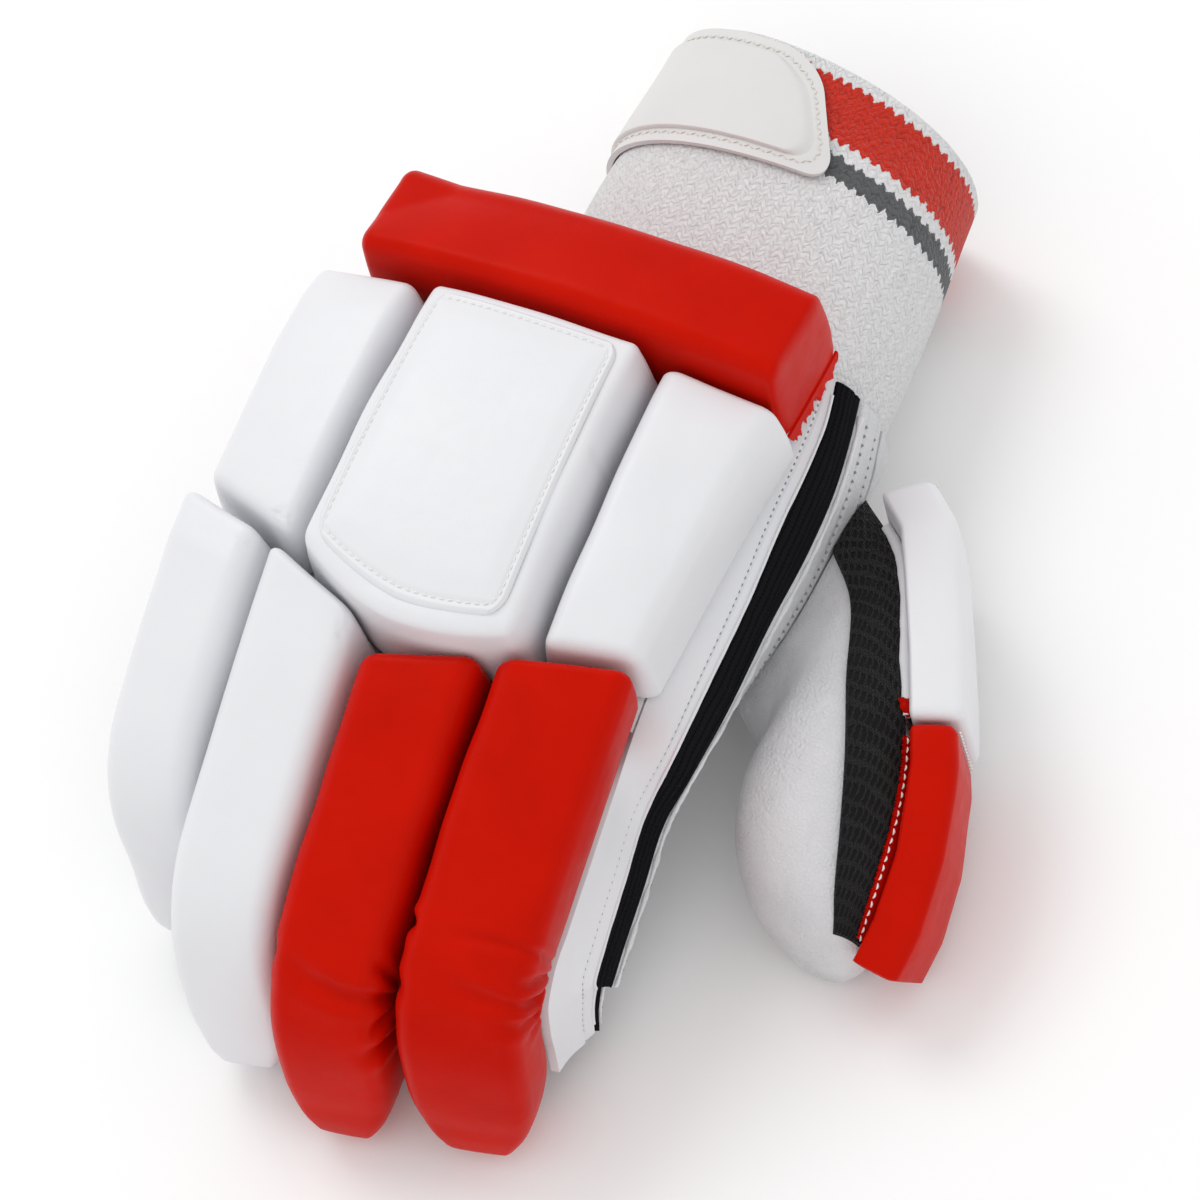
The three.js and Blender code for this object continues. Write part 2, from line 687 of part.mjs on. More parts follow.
const thumbWall = (inset) =>
  RIBS.map((rib, i) => {
    const ring = steps(20).slice(1).map((share) => ribPoint(rib, share * 360, inset, i === 0));
    if (inset && i === RIBS.length - 1) ring.forEach((p) => p.add(point(-0.3 * inset, inset, 0)));
    return ring;
  });
const thumbOuter = thumbWall(0);
piece("thumb_stall", tube(thumbOuter, thumbWall(WALL), true), palmLeather);

// The way through the side of the hand into the thumb.
{
  const ring = thumbWall(WALL)[0];
  const moved = (by) => ring.map((p) => p.clone().setX(p.x + by));
  const cutter = solidOf(loft([moved(-14), moved(2)]));
  for (const mesh of [palm, ...sidePieces]) {
    const rest = solidOf(mesh.geometry).subtract(cutter).decompose();
    rest.sort((a, b) => b.volume() - a.volume());
    mesh.geometry = geometryOf(rest[0]);
  }
}

const thumbMesh = (lift) =>
  RIBS.slice(1, 7).map((rib) => steps(4).map((share) => ribPoint(rib, mix(28, 74, share), -lift)));
piece("thumb_mesh", strip(thumbMesh(TRIM + GAP), thumbMesh(GAP)), blackKnit);

// The two pads along the outer side of the thumb.
function thumbFrame(y) {
  const next = min(6, max(1, RIBS.findIndex((rib) => rib.outer.y <= y)));
  const [a, b] = [RIBS[next - 1].outer, RIBS[next].outer];
  const share = (a.y - y) / (a.y - b.y);
  return a.clone().lerp(b, share);
}

const THUMB_PADS = [
  { name: "thumb_pad_upper", first: 0.071, last: 0.513, wide: [0.95, 1], thick: 1.05, hide: whiteHide },
  { name: "thumb_pad_lower", first: 0.522, last: 0.982, wide: [0.98, 0.66], thick: 0.88, hide: redHide },
].map((row) => ({
  ...row,
  from: THUMB_Y - row.first * THUMB_LENGTH,
  to: THUMB_Y - row.last * THUMB_LENGTH,
}));
const THUMB_LOOK = 12; // how far before and behind a place the thumb's direction is read
const THUMB_LAST = 0.955; // share of its length past which the direction stays
for (const pad of THUMB_PADS) {
  const ends = [thumbFrame(pad.from), thumbFrame(pad.to)];
  const length = ends[0].distanceTo(ends[1]);
  const height = THUMB_PAD_HEIGHT * pad.thick;
  const rows = padRows(length, height, 5, PAD_EDGE * 0.8).map(([along, high]) => {
    const y = mix(pad.from, pad.to, along);
    const at = thumbFrame(y);
    const ahead = max(THUMB_Y - THUMB_LAST * THUMB_LENGTH, y - THUMB_LOOK);
    const behind = min(THUMB_PADS[0].from, y + THUMB_LOOK);
    const way = thumbFrame(ahead).sub(thumbFrame(behind)).normalize();
    const side = point(0, 0, 1).addScaledVector(way, -way.z).normalize();
    const up = way.clone().cross(side).normalize();
    if (up.x < 0) up.negate();
    const frame = { at, along: way, side, up };
    return padSection(THUMB_PAD_WIDTH * mix(...pad.wide, along), high).map(([across, out]) =>
      rested(placed(frame, across, out + 3 * GAP)),
    );
  });
  piece(pad.name, loft(rows), pad.hide);
}

// The origin is under the middle of the glove, on the surface it lies on.
const bounds = new THREE.Box3().setFromObject(glove);
const middle = bounds.getCenter(point(0, 0, 0));
glove.position.set(-middle.x, -middle.y, -bounds.min.z);

export default glove;
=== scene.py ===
# Looks of the batting glove: coated cloth over foam, leather, knit, mesh and stitching.
# Lengths are in millimetres in the hand's frame until a mesh is made.
import math

import bmesh
import bpy
import numpy as np
from mathutils import Matrix, Vector


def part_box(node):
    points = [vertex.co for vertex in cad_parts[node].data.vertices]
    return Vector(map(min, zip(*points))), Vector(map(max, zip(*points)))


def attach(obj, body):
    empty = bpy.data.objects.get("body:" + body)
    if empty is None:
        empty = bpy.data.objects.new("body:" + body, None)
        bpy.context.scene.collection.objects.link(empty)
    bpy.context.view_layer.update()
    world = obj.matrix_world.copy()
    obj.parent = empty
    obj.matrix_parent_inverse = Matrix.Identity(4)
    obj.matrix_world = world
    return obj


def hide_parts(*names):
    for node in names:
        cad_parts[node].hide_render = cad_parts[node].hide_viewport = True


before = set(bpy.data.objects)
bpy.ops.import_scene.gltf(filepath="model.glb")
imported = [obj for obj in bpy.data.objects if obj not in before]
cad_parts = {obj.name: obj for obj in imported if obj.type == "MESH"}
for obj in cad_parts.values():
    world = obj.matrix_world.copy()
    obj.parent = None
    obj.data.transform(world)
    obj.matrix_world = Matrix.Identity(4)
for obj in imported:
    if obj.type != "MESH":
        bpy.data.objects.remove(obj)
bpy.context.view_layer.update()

# Sizes of the solids
GAP = 0.35
PAD_GAP = 0.6
WALL = 2.0
KNIT = 3.0
TRIM = 1.4
HAND_LENGTH = 104.0
HAND_HEIGHT = 73.0
HAND_WIDTH = 134.0
KNUCKLE_Y = -42.0
ARCH = 0.067 * HAND_WIDTH
ROUNDNESS = 2.6
PAD_WIDTH = 0.22 * HAND_WIDTH
PAD_HEIGHT = 19.0
FINGER_LENGTH = 106.0
PAD_DRAFT = 1.5
STALL_WIDTH = 0.19 * HAND_WIDTH
STALL_HEIGHT = 26.0
BLOCK_HEIGHT = 20.5
CENTRE_HEIGHT = 26.0
BLOCK_BACK = KNUCKLE_Y + 0.76 * HAND_LENGTH
BAR_HEIGHT = 28.0
BAR_WIDTH = 29.0
BAR_LENGTH = 0.832 * HAND_WIDTH
CUFF_LENGTH = 80.0
CUFF_WIDTH = 0.627 * HAND_WIDTH
CUFF_HEIGHT = 64.0
CUFF_SINK = 1.5
STRAP = 2.6
STRAP_WIDTH = 32.0
THUMB_LENGTH = 1.077 * HAND_LENGTH
THUMB_REACH = 50.0
THUMB_HEIGHT = 50.0
THUMB_PAD_WIDTH = 0.74 * THUMB_HEIGHT
THUMB_PAD_HEIGHT = 12.5
PAD_LIFT = 0.9
SLACK = 0.4
OUTER_TOP = 150
OUTER_LOW = 218

HAND = [
    # along, left, right, low, high, then where gusset, knit, binding and palm begin, in degrees
    (0.0, -0.686, 0.286, 0.5, 0.915, 42, 20, -12, -42),
    (0.17, -0.694, 0.289, 0.42, 0.955, 44, 21, -9, -40),
    (0.4, -0.694, 0.295, 0.29, 0.985, 47, 24, 0, -33),
    (0.62, -0.67, 0.3, 0.17, 0.985, 51, 29, 4, -24),
    (0.77, -0.612, 0.3, 0.1, 0.965, 55, 31.5, 9.5, -14),
    (0.89, -0.53, 0.297, 0.05, 0.94, 58, 35, 16.5, -4),
    (1.0, -0.44, 0.292, 0.02, 0.92, 60, 41, 23, 6),
]
BLOCKS = {
    # front from, to; how far each end is behind the knuckles; back from, to; tip, draft, rise
    "outer": (-0.698, -0.46, 0.131, 0.052, -0.7, -0.462, 0, 2.5, 4),
    "centre": (-0.457, 0.016, 0.056, 0.011, -0.458, -0.009, 0.086, 3.5, 0),
    "inner": (0.02, 0.205, 0.015, 0.063, -0.005, 0.235, 0, 2, 0),
}
BAR_LEFT = -0.619
BAR_FRONT = 1.2
BAR_SLANT = 2.0
FINGERS = {
    # x, start, skew, wide, roll, splay, long, dip, from, turn
    "index": (0.0664, 0.0179, 0.0634, 1.1, 8, 1, 1.03, 78, 0.5, 13),
    "middle": (-0.1687, -0.0463, 0.0597, 1.0, 1, 1.8, 1.06, 78, 0.52, 9),
    "ring": (-0.3903, 0.0134, -0.097, 0.975, -5, 2.5, 1.04, 78, 0.49, 9),
    "little": (-0.5945, 0.0866, -0.0627, 0.87, -12, 3, 0.82, 80, 0.36, 8),
}
FIRST_DIP = 22
BEND_OVER = 0.26
BACK_RISE = 0.2
# The middle finger's cover reaches past its foam
MIDDLE_REACH = 4.5
STATIONS = [
    # along, pad width, pad height, tube size
    (0.14, 1.0, 1.0, 1.0),
    (0.3, 1.0, 1.0, 1.0),
    (0.44, 1.0, 1.0, 0.98),
    (0.54, 0.99, 0.99, 0.95),
    (0.62, 0.975, 0.97, 0.9),
    (0.7, 0.96, 0.97, 0.82),
    (0.78, 0.945, 0.97, 0.7),
    (0.86, 0.92, 0.93, 0.5),
    (0.93, 0.85, 0.84, None),
    (0.98, 0.72, 0.68, None),
    (1.0, 0.56, 0.5, None),
]
CUFF = [
    # along, middle, half, high
    (0, -0.13, 0.555, 1.03),
    (0.2, -0.13, 0.552, 1.02),
    (0.45, -0.135, 0.545, 1.0),
    (0.7, -0.135, 0.525, 0.985),
    (0.88, -0.135, 0.508, 0.975),
    (1, -0.135, 0.5, 0.98),
]
CUFF_ROUNDNESS = 2.2
RIBS = [
    # inner out, inner on, outer out, outer on, inner mid, outer mid, tall
    (0, 0.56, 0, 0.02, 0.48, 0.5, 0.56),
    (0.04, 0.64, 0.3, 0.14, 0.48, 0.58, 0.7),
    (0.05, 0.74, 0.58, 0.39, 0.49, 0.59, 0.82),
    (0.1, 0.83, 0.78, 0.59, 0.46, 0.54, 0.84),
    (0.2, 0.905, 0.87, 0.75, 0.41, 0.46, 0.78),
    (0.34, 0.96, 0.89, 0.875, 0.35, 0.38, 0.68),
    (0.5, 0.99, 0.86, 0.955, 0.27, 0.29, 0.5),
    (0.6, 1.0, 0.79, 0.99, 0.22, 0.22, 0.26),
]

bar_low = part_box("wrist_bar")[0]
cuff_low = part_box("cuff")[0]
SHIFT = np.array(
    [bar_low.x * 1000 - BAR_LEFT * HAND_WIDTH, cuff_low.y * 1000 - (KNUCKLE_Y + HAND_LENGTH + GAP), 0.0]
)


def mix(a, b, share):
    return a + (b - a) * share


def smooth(value):
    t = np.clip(value, 0, 1)
    return t * t * (3 - 2 * t)


def unit(v):
    return v / np.maximum(np.linalg.norm(v, axis=-1, keepdims=True), 1e-9)


def xyz(x, y, z):
    return np.stack(np.broadcast_arrays(x, y, z), axis=-1)


def picked(at, keys, table):
    """A table's columns read off at places between its keys."""
    return np.stack([np.interp(at, keys, column) for column in table.T], axis=-1)


def rested(p, least=0.0):
    p = p.copy()
    p[..., 2] = np.maximum(p[..., 2], least)
    return p


def through(keys, values, at):
    """Values on a smooth curve through a table's rows; beyond its ends it stays level."""
    keys = np.asarray(keys, float)
    values = np.asarray(values, float)
    at = np.clip(at, keys[0], keys[-1])
    slopes = np.gradient(values, keys, axis=0)
    slopes[0] = (values[1] - values[0]) / (keys[1] - keys[0])
    slopes[-1] = (values[-1] - values[-2]) / (keys[-1] - keys[-2])
    i = np.clip(np.searchsorted(keys, at, side="right") - 1, 0, len(keys) - 2)
    width = keys[i + 1] - keys[i]
    t = (at - keys[i]) / width
    if values.ndim > 1:
        extra = (1,) * (values.ndim - 1)
        t = t.reshape(t.shape + extra)
        width = width.reshape(width.shape + extra)
    bend = t * (1 - t) * width * ((1 - t) * slopes[i] - t * slopes[i + 1])
    return mix(values[i], values[i + 1], smooth(t)) + bend


def finer(rows, count):
    """More rows on smooth curves through the given ones."""
    rows = np.asarray(rows, float)
    steps = np.linalg.norm(np.diff(rows, axis=0), axis=2).mean(axis=1)
    keys = np.concatenate([[0], np.cumsum(steps)])
    return through(keys, rows, np.linspace(0, keys[-1], count))


HAND_Y = np.array([KNUCKLE_Y + row[0] * HAND_LENGTH for row in HAND])
HAND_ROWS = np.array(
    [(r[1] * HAND_WIDTH, r[2] * HAND_WIDTH, r[3] * HAND_HEIGHT, r[4] * HAND_HEIGHT, *r[5:]) for r in HAND]
)


def hand_at(y):
    y = np.asarray(y, float)
    row = through(HAND_Y, HAND_ROWS, y)
    names = ("left", "right", "low", "high", "gusset", "knit", "binding", "palm")
    return {"y": y, **{name: row[..., k] for k, name in enumerate(names)}}


def around(section, angle, inset=0.0, roundness=ROUNDNESS):
    """Points of a rounded section at angles from its thumb side."""
    c, s = np.cos(np.radians(angle)), np.sin(np.radians(angle))
    half = (section["right"] - section["left"]) / 2 - inset
    tall = (section["high"] - section["low"]) / 2 - inset
    centre = (section["right"] + section["left"]) / 2
    x = centre + half * np.sign(c) * np.abs(c) ** (2 / roundness)
    z = (section["high"] + section["low"]) / 2 + tall * np.sign(s) * np.abs(s) ** (2 / roundness)
    y = section["y"] + section.get("skew", 0) * (x - centre) / half
    return xyz(x, y, z)


def pad_base(x, y, arch=1.0):
    section = hand_at(y)
    share = np.abs((2 * x - section["left"] - section["right"]) / (section["right"] - section["left"]))
    tall = (section["high"] - section["low"]) / 2
    drop = tall * (1 - (1 - np.minimum(1, share) ** ROUNDNESS) ** (1 / ROUNDNESS))
    return section["high"] + PAD_GAP - np.minimum(drop, ARCH * arch * np.minimum(share * share, 1.4))


def waves(p, length, seed):
    """Slow unevenness between -1 and 1 over points, the same on each run."""
    pick = np.random.default_rng(seed)
    total = np.zeros(p.shape[:-1])
    for _ in range(7):
        way = unit(pick.normal(size=3)) * (2 * np.pi / (length * pick.uniform(0.6, 1.6)))
        total += np.sin(p @ way + pick.uniform(0, 2 * np.pi))
    return total / 4


class Skin:
    """A mesh being put together from grids of points."""

    def __init__(self):
        self.points, self.quads, self.uvs, self.count = [], [], [], 0

    def add(self, rows, uv=None, wrap=False):
        """A grid; with wrap, its last column meets its first. uv has a column more then."""
        n, m = rows.shape[:2]
        index = self.count + np.arange(n * m).reshape(n, m)
        self.points.append(rows.reshape(-1, 3))
        self.count += n * m
        if wrap:
            index = np.concatenate([index, index[:, :1]], axis=1)
        if uv is None:
            uv = np.zeros(index.shape + (2,))
        self.patch(index, uv)
        return index

    def patch(self, index, uv):
        corners = lambda a: np.stack([a[:-1, :-1], a[:-1, 1:], a[1:, 1:], a[1:, :-1]], axis=2)
        self.quads.append(corners(index).reshape(-1, 4))
        self.uvs.append(corners(uv).reshape(-1, 4, 2))

    def band(self, edge_a, edge_b, uv_a=None, uv_b=None):
        index = np.stack([edge_a, edge_b])
        uv = np.zeros(index.shape + (2,)) if uv_a is None else np.stack([uv_a, uv_b])
        self.patch(index, uv)

    def cap(self, edge):
        """Closes a ring of points with a fan."""
        points = np.concatenate(self.points)
        self.points.append(points[edge[:-1]].mean(axis=0)[None])
        centre = self.count
        self.count += 1
        self.band(edge, np.full(len(edge), centre))

    def mesh(self, name, material, sharp=50):
        points = np.concatenate(self.points)
        quads = np.concatenate(self.quads)
        uvs = np.concatenate(self.uvs)
        faces = []
        loops = []
        for quad, uv in zip(quads.tolist(), uvs.tolist()):
            kept = [k for k in range(4) if quad[k] != quad[(k + 1) % 4]]
            faces.append([quad[k] for k in kept])
            loops.extend(uv[k] for k in kept)
        data = bpy.data.meshes.new(name)
        data.from_pydata(((points + SHIFT) / 1000).tolist(), [], faces)
        layer = data.uv_layers.new(name="UVMap")
        layer.data.foreach_set("uv", np.array(loops, np.float32).ravel())
        data.materials.append(material)
        data.update()
        obj = bpy.data.objects.new(name, data)
        bpy.context.scene.collection.objects.link(obj)
        outward(obj)
        data.polygons.foreach_set("use_smooth", [True] * len(data.polygons))
        data.set_sharp_from_angle(angle=math.radians(sharp))
        return obj


def outward(obj):
    b = bmesh.new()
    b.from_mesh(obj.data)
    bmesh.ops.recalc_face_normals(b, faces=b.faces)
    b.to_mesh(obj.data)
    b.free()


def grid_uv(rows, wrap=False):
    """Millimetres across and along a grid, as a uv map."""
    closed = np.concatenate([rows, rows[:, :1]], axis=1) if wrap else rows
    far = []
    for axis in (1, 0):
        step = np.linalg.norm(np.diff(closed, axis=axis), axis=-1)
        far.append(np.insert(np.cumsum(step, axis=axis), 0, 0, axis=axis))
    across, along = far
    across = across * (across[:, -1:].mean() / across[:, -1:])
    return np.stack([across, along], axis=-1)


def finish_piece(obj, slot, *nodes, fill=None):
    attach(obj, "root")
    if nodes:
        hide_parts(*nodes)
    return obj


# Materials

class Wire:
    """A value that runs between a material's nodes, to calculate with."""

    def __init__(self, socket):
        self.socket = socket

    def math(self, operation, *others, clamp=False):
        tree = self.socket.id_data
        n = tree.nodes.new("ShaderNodeMath")
        n.operation = operation
        n.use_clamp = clamp
        for place, value in zip(n.inputs, (self, *others)):
            if isinstance(value, Wire):
                tree.links.new(value.socket, place)
            else:
                place.default_value = value
        return Wire(n.outputs[0])

    def __add__(self, other):
        return self.math("ADD", other)

    def __mul__(self, other):
        return self.math("MULTIPLY", other)

    def scaled(self, factor, shift=0.0, clamp=False):
        return self.math("MULTIPLY_ADD", factor, shift, clamp=clamp)

    def swing(self, length):
        """A sine wave of the given length."""
        return (self * (2 * math.pi / length)).math("SINE")

    def size(self):
        return self.math("ABSOLUTE")

    def part(self):
        return self.math("FRACT")


def settle(n, **values):
    for name, value in values.items():
        n.inputs[name.replace("_", " ")].default_value = value


def shader(name, color, roughness, specular=0.5, sheen=0.0):
    material = bpy.data.materials.new(name)
    material.use_nodes = True
    main = next(n for n in material.node_tree.nodes if n.type == "BSDF_PRINCIPLED")
    settle(main, Base_Color=(*color, 1), Roughness=roughness, Specular_IOR_Level=specular)
    settle(main, Sheen_Weight=sheen, Sheen_Roughness=0.4)
    return material, main


def texture(main, kind, per_mm):
    """A texture fixed to the object, with its size given by how many features fit a millimetre."""
    tree = main.id_data
    coords = tree.nodes.new("ShaderNodeTexCoord")
    mapping = tree.nodes.new("ShaderNodeMapping")
    settle(mapping, Scale=(per_mm * 1000,) * 3)
    n = tree.nodes.new(kind)
    settle(n, Scale=1)
    tree.links.new(coords.outputs["Object"], mapping.inputs["Vector"])
    tree.links.new(mapping.outputs["Vector"], n.inputs["Vector"])
    return n


def noise(main, per_mm, detail):
    n = texture(main, "ShaderNodeTexNoise", per_mm)
    settle(n, Detail=detail, Roughness=0.55)
    return Wire(n.outputs["Fac"])


def cells(main, per_mm, feature="DISTANCE_TO_EDGE"):
    n = texture(main, "ShaderNodeTexVoronoi", per_mm)
    n.feature = feature
    return Wire(n.outputs["Distance"])


def across_and_along(main):
    """Millimetres across and along the cloth."""
    tree = main.id_data
    n = tree.nodes.new("ShaderNodeUVMap")
    n.uv_map = "UVMap"
    split = tree.nodes.new("ShaderNodeSeparateXYZ")
    tree.links.new(n.outputs["UV"], split.inputs["Vector"])
    return Wire(split.outputs["X"]), Wire(split.outputs["Y"])


def ramp(source, stops):
    tree = source.socket.id_data
    n = tree.nodes.new("ShaderNodeValToRGB")
    tree.links.new(source.socket, n.inputs["Fac"])
    while len(n.color_ramp.elements) < len(stops):
        n.color_ramp.elements.new(0.5)
    for element, (place, color) in zip(n.color_ramp.elements, stops):
        element.position = place
        element.color = (*color, 1)
    return Wire(n.outputs["Color"])


def feed(main, name, value):
    main.id_data.links.new(value.socket, main.inputs[name])


def bump(main, height, strength, distance, under=None):
    """Relief of a height in millimetres, over an earlier relief where there is one."""
    n = main.id_data.nodes.new("ShaderNodeBump")
    settle(n, Strength=strength, Distance=distance / 1000)
    feed(n, "Height", height)
    if under is not None:
        feed(n, "Normal", under)
    normal = Wire(n.outputs["Normal"])
    feed(main, "Normal", normal)
    return normal


def coated(name, color, dark, roughness=0.42, grain=0.5, specular=0.4, tint=(1, 1, 1, 1)):
    """Smooth coated cloth with a faint pressed grain and worn, uneven gloss."""
    material, main = shader(name, color, roughness, specular)
    settle(main, Specular_Tint=tint)
    feed(main, "Base Color", ramp(noise(main, 0.05, 3), [(0.3, dark), (0.7, color)]))
    feed(main, "Roughness", noise(main, 0.25, 3).scaled(0.16, roughness - 0.08))
    slow = bump(main, noise(main, 0.12, 3), 0.5, 0.35)
    bump(main, cells(main, 1.5).scaled(0.7, noise(main, 2.2, 3)), grain, 0.045, slow)
    return material


def leather(name, color, dark, roughness=0.55, creased=0.0):
    """Soft leather: small pebbles, pores and creases."""
    material, main = shader(name, color, roughness, 0.4)
    feed(main, "Base Color", ramp(noise(main, 0.06, 5), [(0.3, dark), (0.7, color)]))
    slow = bump(main, noise(main, 0.2, 5), 0.6, 0.7)
    if creased:
        web = cells(main, 0.7).math("MULTIPLY", 2.4, clamp=True)
        where = noise(main, 0.035, 2).scaled(7, -3.4, clamp=True)
        slow = bump(main, web * where, creased, 0.8, slow)
        slow = bump(main, noise(main, 0.075, 2), creased, 2.2, slow)
    pebbles = cells(main, 0.95).math("MULTIPLY", 2.0, clamp=True).math("POWER", 0.5)
    bump(main, noise(main, 2.6, 4).scaled(0.6, pebbles), 0.75, 0.16, slow)
    return material


def knitted(name, color, dark, bands, wale=3.1, row=1.75):
    """Coarse knit of V-shaped loops, with bands of other yarn given as (start, end, yarn colour, its
    painted shade).
    """
    material, main = shader(name, color, 0.85, 0.25, sheen=0.25)
    u, v = across_and_along(main)
    u = u + noise(main, 0.4, 3).scaled(2.6, -1.3)
    v = v + noise(main, 0.5, 3).scaled(2.0, -1.0)
    side = (u * (1 / wale)).part().scaled(2, -1).size()
    course = side.scaled(0.93 * row, v)
    turn = (course * (1 / row)).part()
    leg = side.swing(2).scaled(0.75, 0.25)
    body = (turn.swing(2) * leg).math("POWER", 0.7)
    strand = (turn + side).swing(0.4)
    knots = cells(main, 0.62, "F1").scaled(-0.77, 0.7)
    height = strand.scaled(0.09, body).scaled(0.5, knots) + noise(main, 3.2, 4) * 0.5
    edge = course + noise(main, 1.3, 3).scaled(1.2, -0.6)
    # Painted shade: the colour follows the knit's relief, dark in its hollows and the yarn colour on the
    # loops; each band does the same with its own yarn colour and hollow shade.
    shade = ramp(height, [(0.15, dark), (0.75, color)])
    for start, end, tint, hollow_shade in bands:
        blend = main.id_data.nodes.new("ShaderNodeMix")
        blend.data_type = "RGBA"
        feed(blend, "Factor", edge.math("GREATER_THAN", start) * edge.math("LESS_THAN", end))
        feed(blend, "A", shade)
        feed(blend, "B", ramp(height, [(0.15, hollow_shade), (0.75, tint)]))
        shade = Wire(blend.outputs["Result"])
    feed(main, "Base Color", shade)
    bump(main, height, 0.95, 0.8)
    return material


def ribbed(name, color, light, pitch=1.55):
    """Fine rib knit: narrow ridges along the strip with small crosswise loops."""
    material, main = shader(name, color, 0.9, 0.06)
    u, v = across_and_along(main)
    u = u + noise(main, 0.08, 2).scaled(1.6, -0.8)
    ridge = u.swing(2 * pitch).size().math("POWER", 0.6)
    height = v.swing(1.1).scaled(0.16, ridge) + noise(main, 3, 3) * 0.3
    # Painted highlight: the ridge tops are coloured lighter than the hollows between them.
    feed(main, "Base Color", ramp(height, [(0.1, color), (1.0, light)]))
    bump(main, height, 0.8, 0.4)
    return material


def netted(name, color, light, across=3.1, along=4.7, hole=0.24):
    """Open mesh: staggered long holes in a fine knit, larger in some places."""
    material, main = shader(name, color, 0.7, 0.2, sheen=0.04)
    u, v = across_and_along(main)
    u = u + noise(main, 0.3, 3).scaled(1.8, -0.9)
    v = v + noise(main, 0.25, 3).scaled(2.4, -1.2)

    def away(offset):
        x = (u.scaled(1 / across, offset).part() + -0.5).size()
        y = (v.scaled(1 / along, offset).part() + -0.5).size()
        return x.math("MAXIMUM", y.scaled(0.75, x * 0.85))

    near = away(0.0).math("MINIMUM", away(0.5))
    rim = near.scaled(10, noise(main, 0.07, 2).scaled(-3.2, 2.1 - 10 * hole), clamp=True)
    threads = u.swing(0.8) * 0.3 + v.swing(0.9) * 0.3
    height = rim.scaled(threads, rim) + noise(main, 2.4, 3) * 0.18
    # Painted shade and highlight: the holes are coloured near black, as shade in the openings, and the
    # thread tops lighter.
    black = (0.002, 0.002, 0.002)
    feed(main, "Base Color", ramp(height, [(0.2, black), (0.7, color), (1.2 / 1.3, light)]))
    bump(main, height, 1.0, 0.7)
    return material


WHITE = coated("white_hide", (0.78, 0.782, 0.808), (0.765, 0.768, 0.795))
RED = coated("red_hide", (0.57, 0.006, 0.001), (0.51, 0.005, 0.0008), 0.4, 0.6, 0.11, (1, 0.45, 0.3, 1))
LEATHER = leather("palm_leather", (0.68, 0.683, 0.7), (0.62, 0.623, 0.64))
THUMB_LEATHER = leather("thumb_hide", (0.7, 0.7, 0.715), (0.62, 0.62, 0.635), 0.5, 0.3)
STRAP_HIDE = coated("strap_hide", (0.7, 0.695, 0.69), (0.68, 0.675, 0.665), 0.5, 0.3)
# Dyed bands of the cuff: start, end, yarn colour, and that colour darkened as painted shade in the knit's
# hollows.
BANDS = [
    (3.6, 19.0, (0.66, 0.025, 0.008), (0.32, 0.008, 0.003)),
    (22.8, 28.8, (0.115, 0.12, 0.125), (0.04, 0.04, 0.042)),
]
# The cuff's second colour is painted shade in the knit's hollows; the black knit's and the mesh's second
# colours are painted highlights on their thread tops.
CUFF_KNIT = knitted("white_knit", (0.86, 0.86, 0.87), (0.66, 0.66, 0.68), BANDS)
BLACK_KNIT = ribbed("black_knit", (0.0025, 0.0025, 0.003), (0.009, 0.009, 0.011))
BLACK_MESH = netted("black_mesh", (0.006, 0.006, 0.007), (0.02, 0.02, 0.022))
THREAD = shader("thread", (0.8, 0.8, 0.78), 0.6)[0]
WARM_THREAD = shader("worn_thread", (0.72, 0.7, 0.64), 0.6)[0]
# Grey beads along the gusset and binding seams stand for needle holes; their grey is painted shade in the
# holes.
NEEDLE_HOLE_SHADE = shader("needle_hole_shade", (0.28, 0.28, 0.3), 0.8)[0]
FLEECE = leather("raw_edge", (0.8, 0.8, 0.81), (0.66, 0.66, 0.68), 0.9)


# Stitches, piping and cut edges

def on_grid(rows, along, across, toward):
    """Places and normals on a grid at shares along and across it."""
    n, m = rows.shape[:2]
    a = np.clip(np.broadcast_to(along, np.shape(across)) * (n - 1), 0, n - 1.001)
    b = np.clip(np.asarray(across) * (m - 1), 0, m - 1.001)
    i, j = a.astype(int), b.astype(int)
    s, t = (a - i)[:, None], (b - j)[:, None]
    low = mix(rows[i, j], rows[i, j + 1], t)
    high = mix(rows[i + 1, j], rows[i + 1, j + 1], t)
    normal = unit(np.cross(high - low, rows[i, j + 1] - rows[i, j]))
    flip = np.sign(normal @ np.asarray(toward, float))
    return mix(low, high, s), normal * flip[:, None]


def on_cushion(put, local, away):
    """Places and normals on a block's surface, at local places that face a local way."""
    spot = put(local)
    return spot, unit(put(local + np.asarray(away, float)) - spot)


def spaced(spots, normals, pitch):
    """The same path with places at an even pitch."""
    step = np.linalg.norm(np.diff(spots, axis=0), axis=1)
    far = np.concatenate([[0], np.cumsum(step)])
    at = np.arange(pitch / 2, far[-1], pitch)
    spots, normals = picked(at, far, spots), unit(picked(at, far, normals))
    along = unit(np.gradient(spots, axis=0)) if len(spots) > 1 else np.array([[1.0, 0, 0]])
    return spots, normals, along


def sew(name, path, material, slot, pitch, radius, fill, sunk, slant=0.0, sway=0.0):
    """A row of stitches along a path; slant and sway turn it into a zigzag."""
    spots, normals, along = spaced(*path, pitch)
    side = np.cross(normals, along)
    turn = np.where(np.arange(len(spots)) % 2 == 0, 1.0, -1.0)
    skin = Skin()
    t = np.linspace(-1, 1, 7)
    angle = np.linspace(0, 2 * np.pi, 7)[:-1]
    for spot, up, go, out, way in zip(spots, normals, along, side, turn):
        go = unit(go + out * (way * math.tan(math.radians(slant))))
        out = np.cross(up, go)
        centre = spot + out * (way * sway)
        middle = centre + np.outer(t * pitch * fill / 2, go)
        middle = middle + np.outer(radius * (1.1 * (1 - t * t)) - sunk, up)
        thick = radius * np.sqrt(1 - 0.9 * t**2)
        ring = np.outer(np.cos(angle), out) + np.outer(np.sin(angle), up)
        skin.add(middle[:, None] + thick[:, None, None] * ring[None], None, True)
    return finish_piece(skin.mesh(name, material), slot)


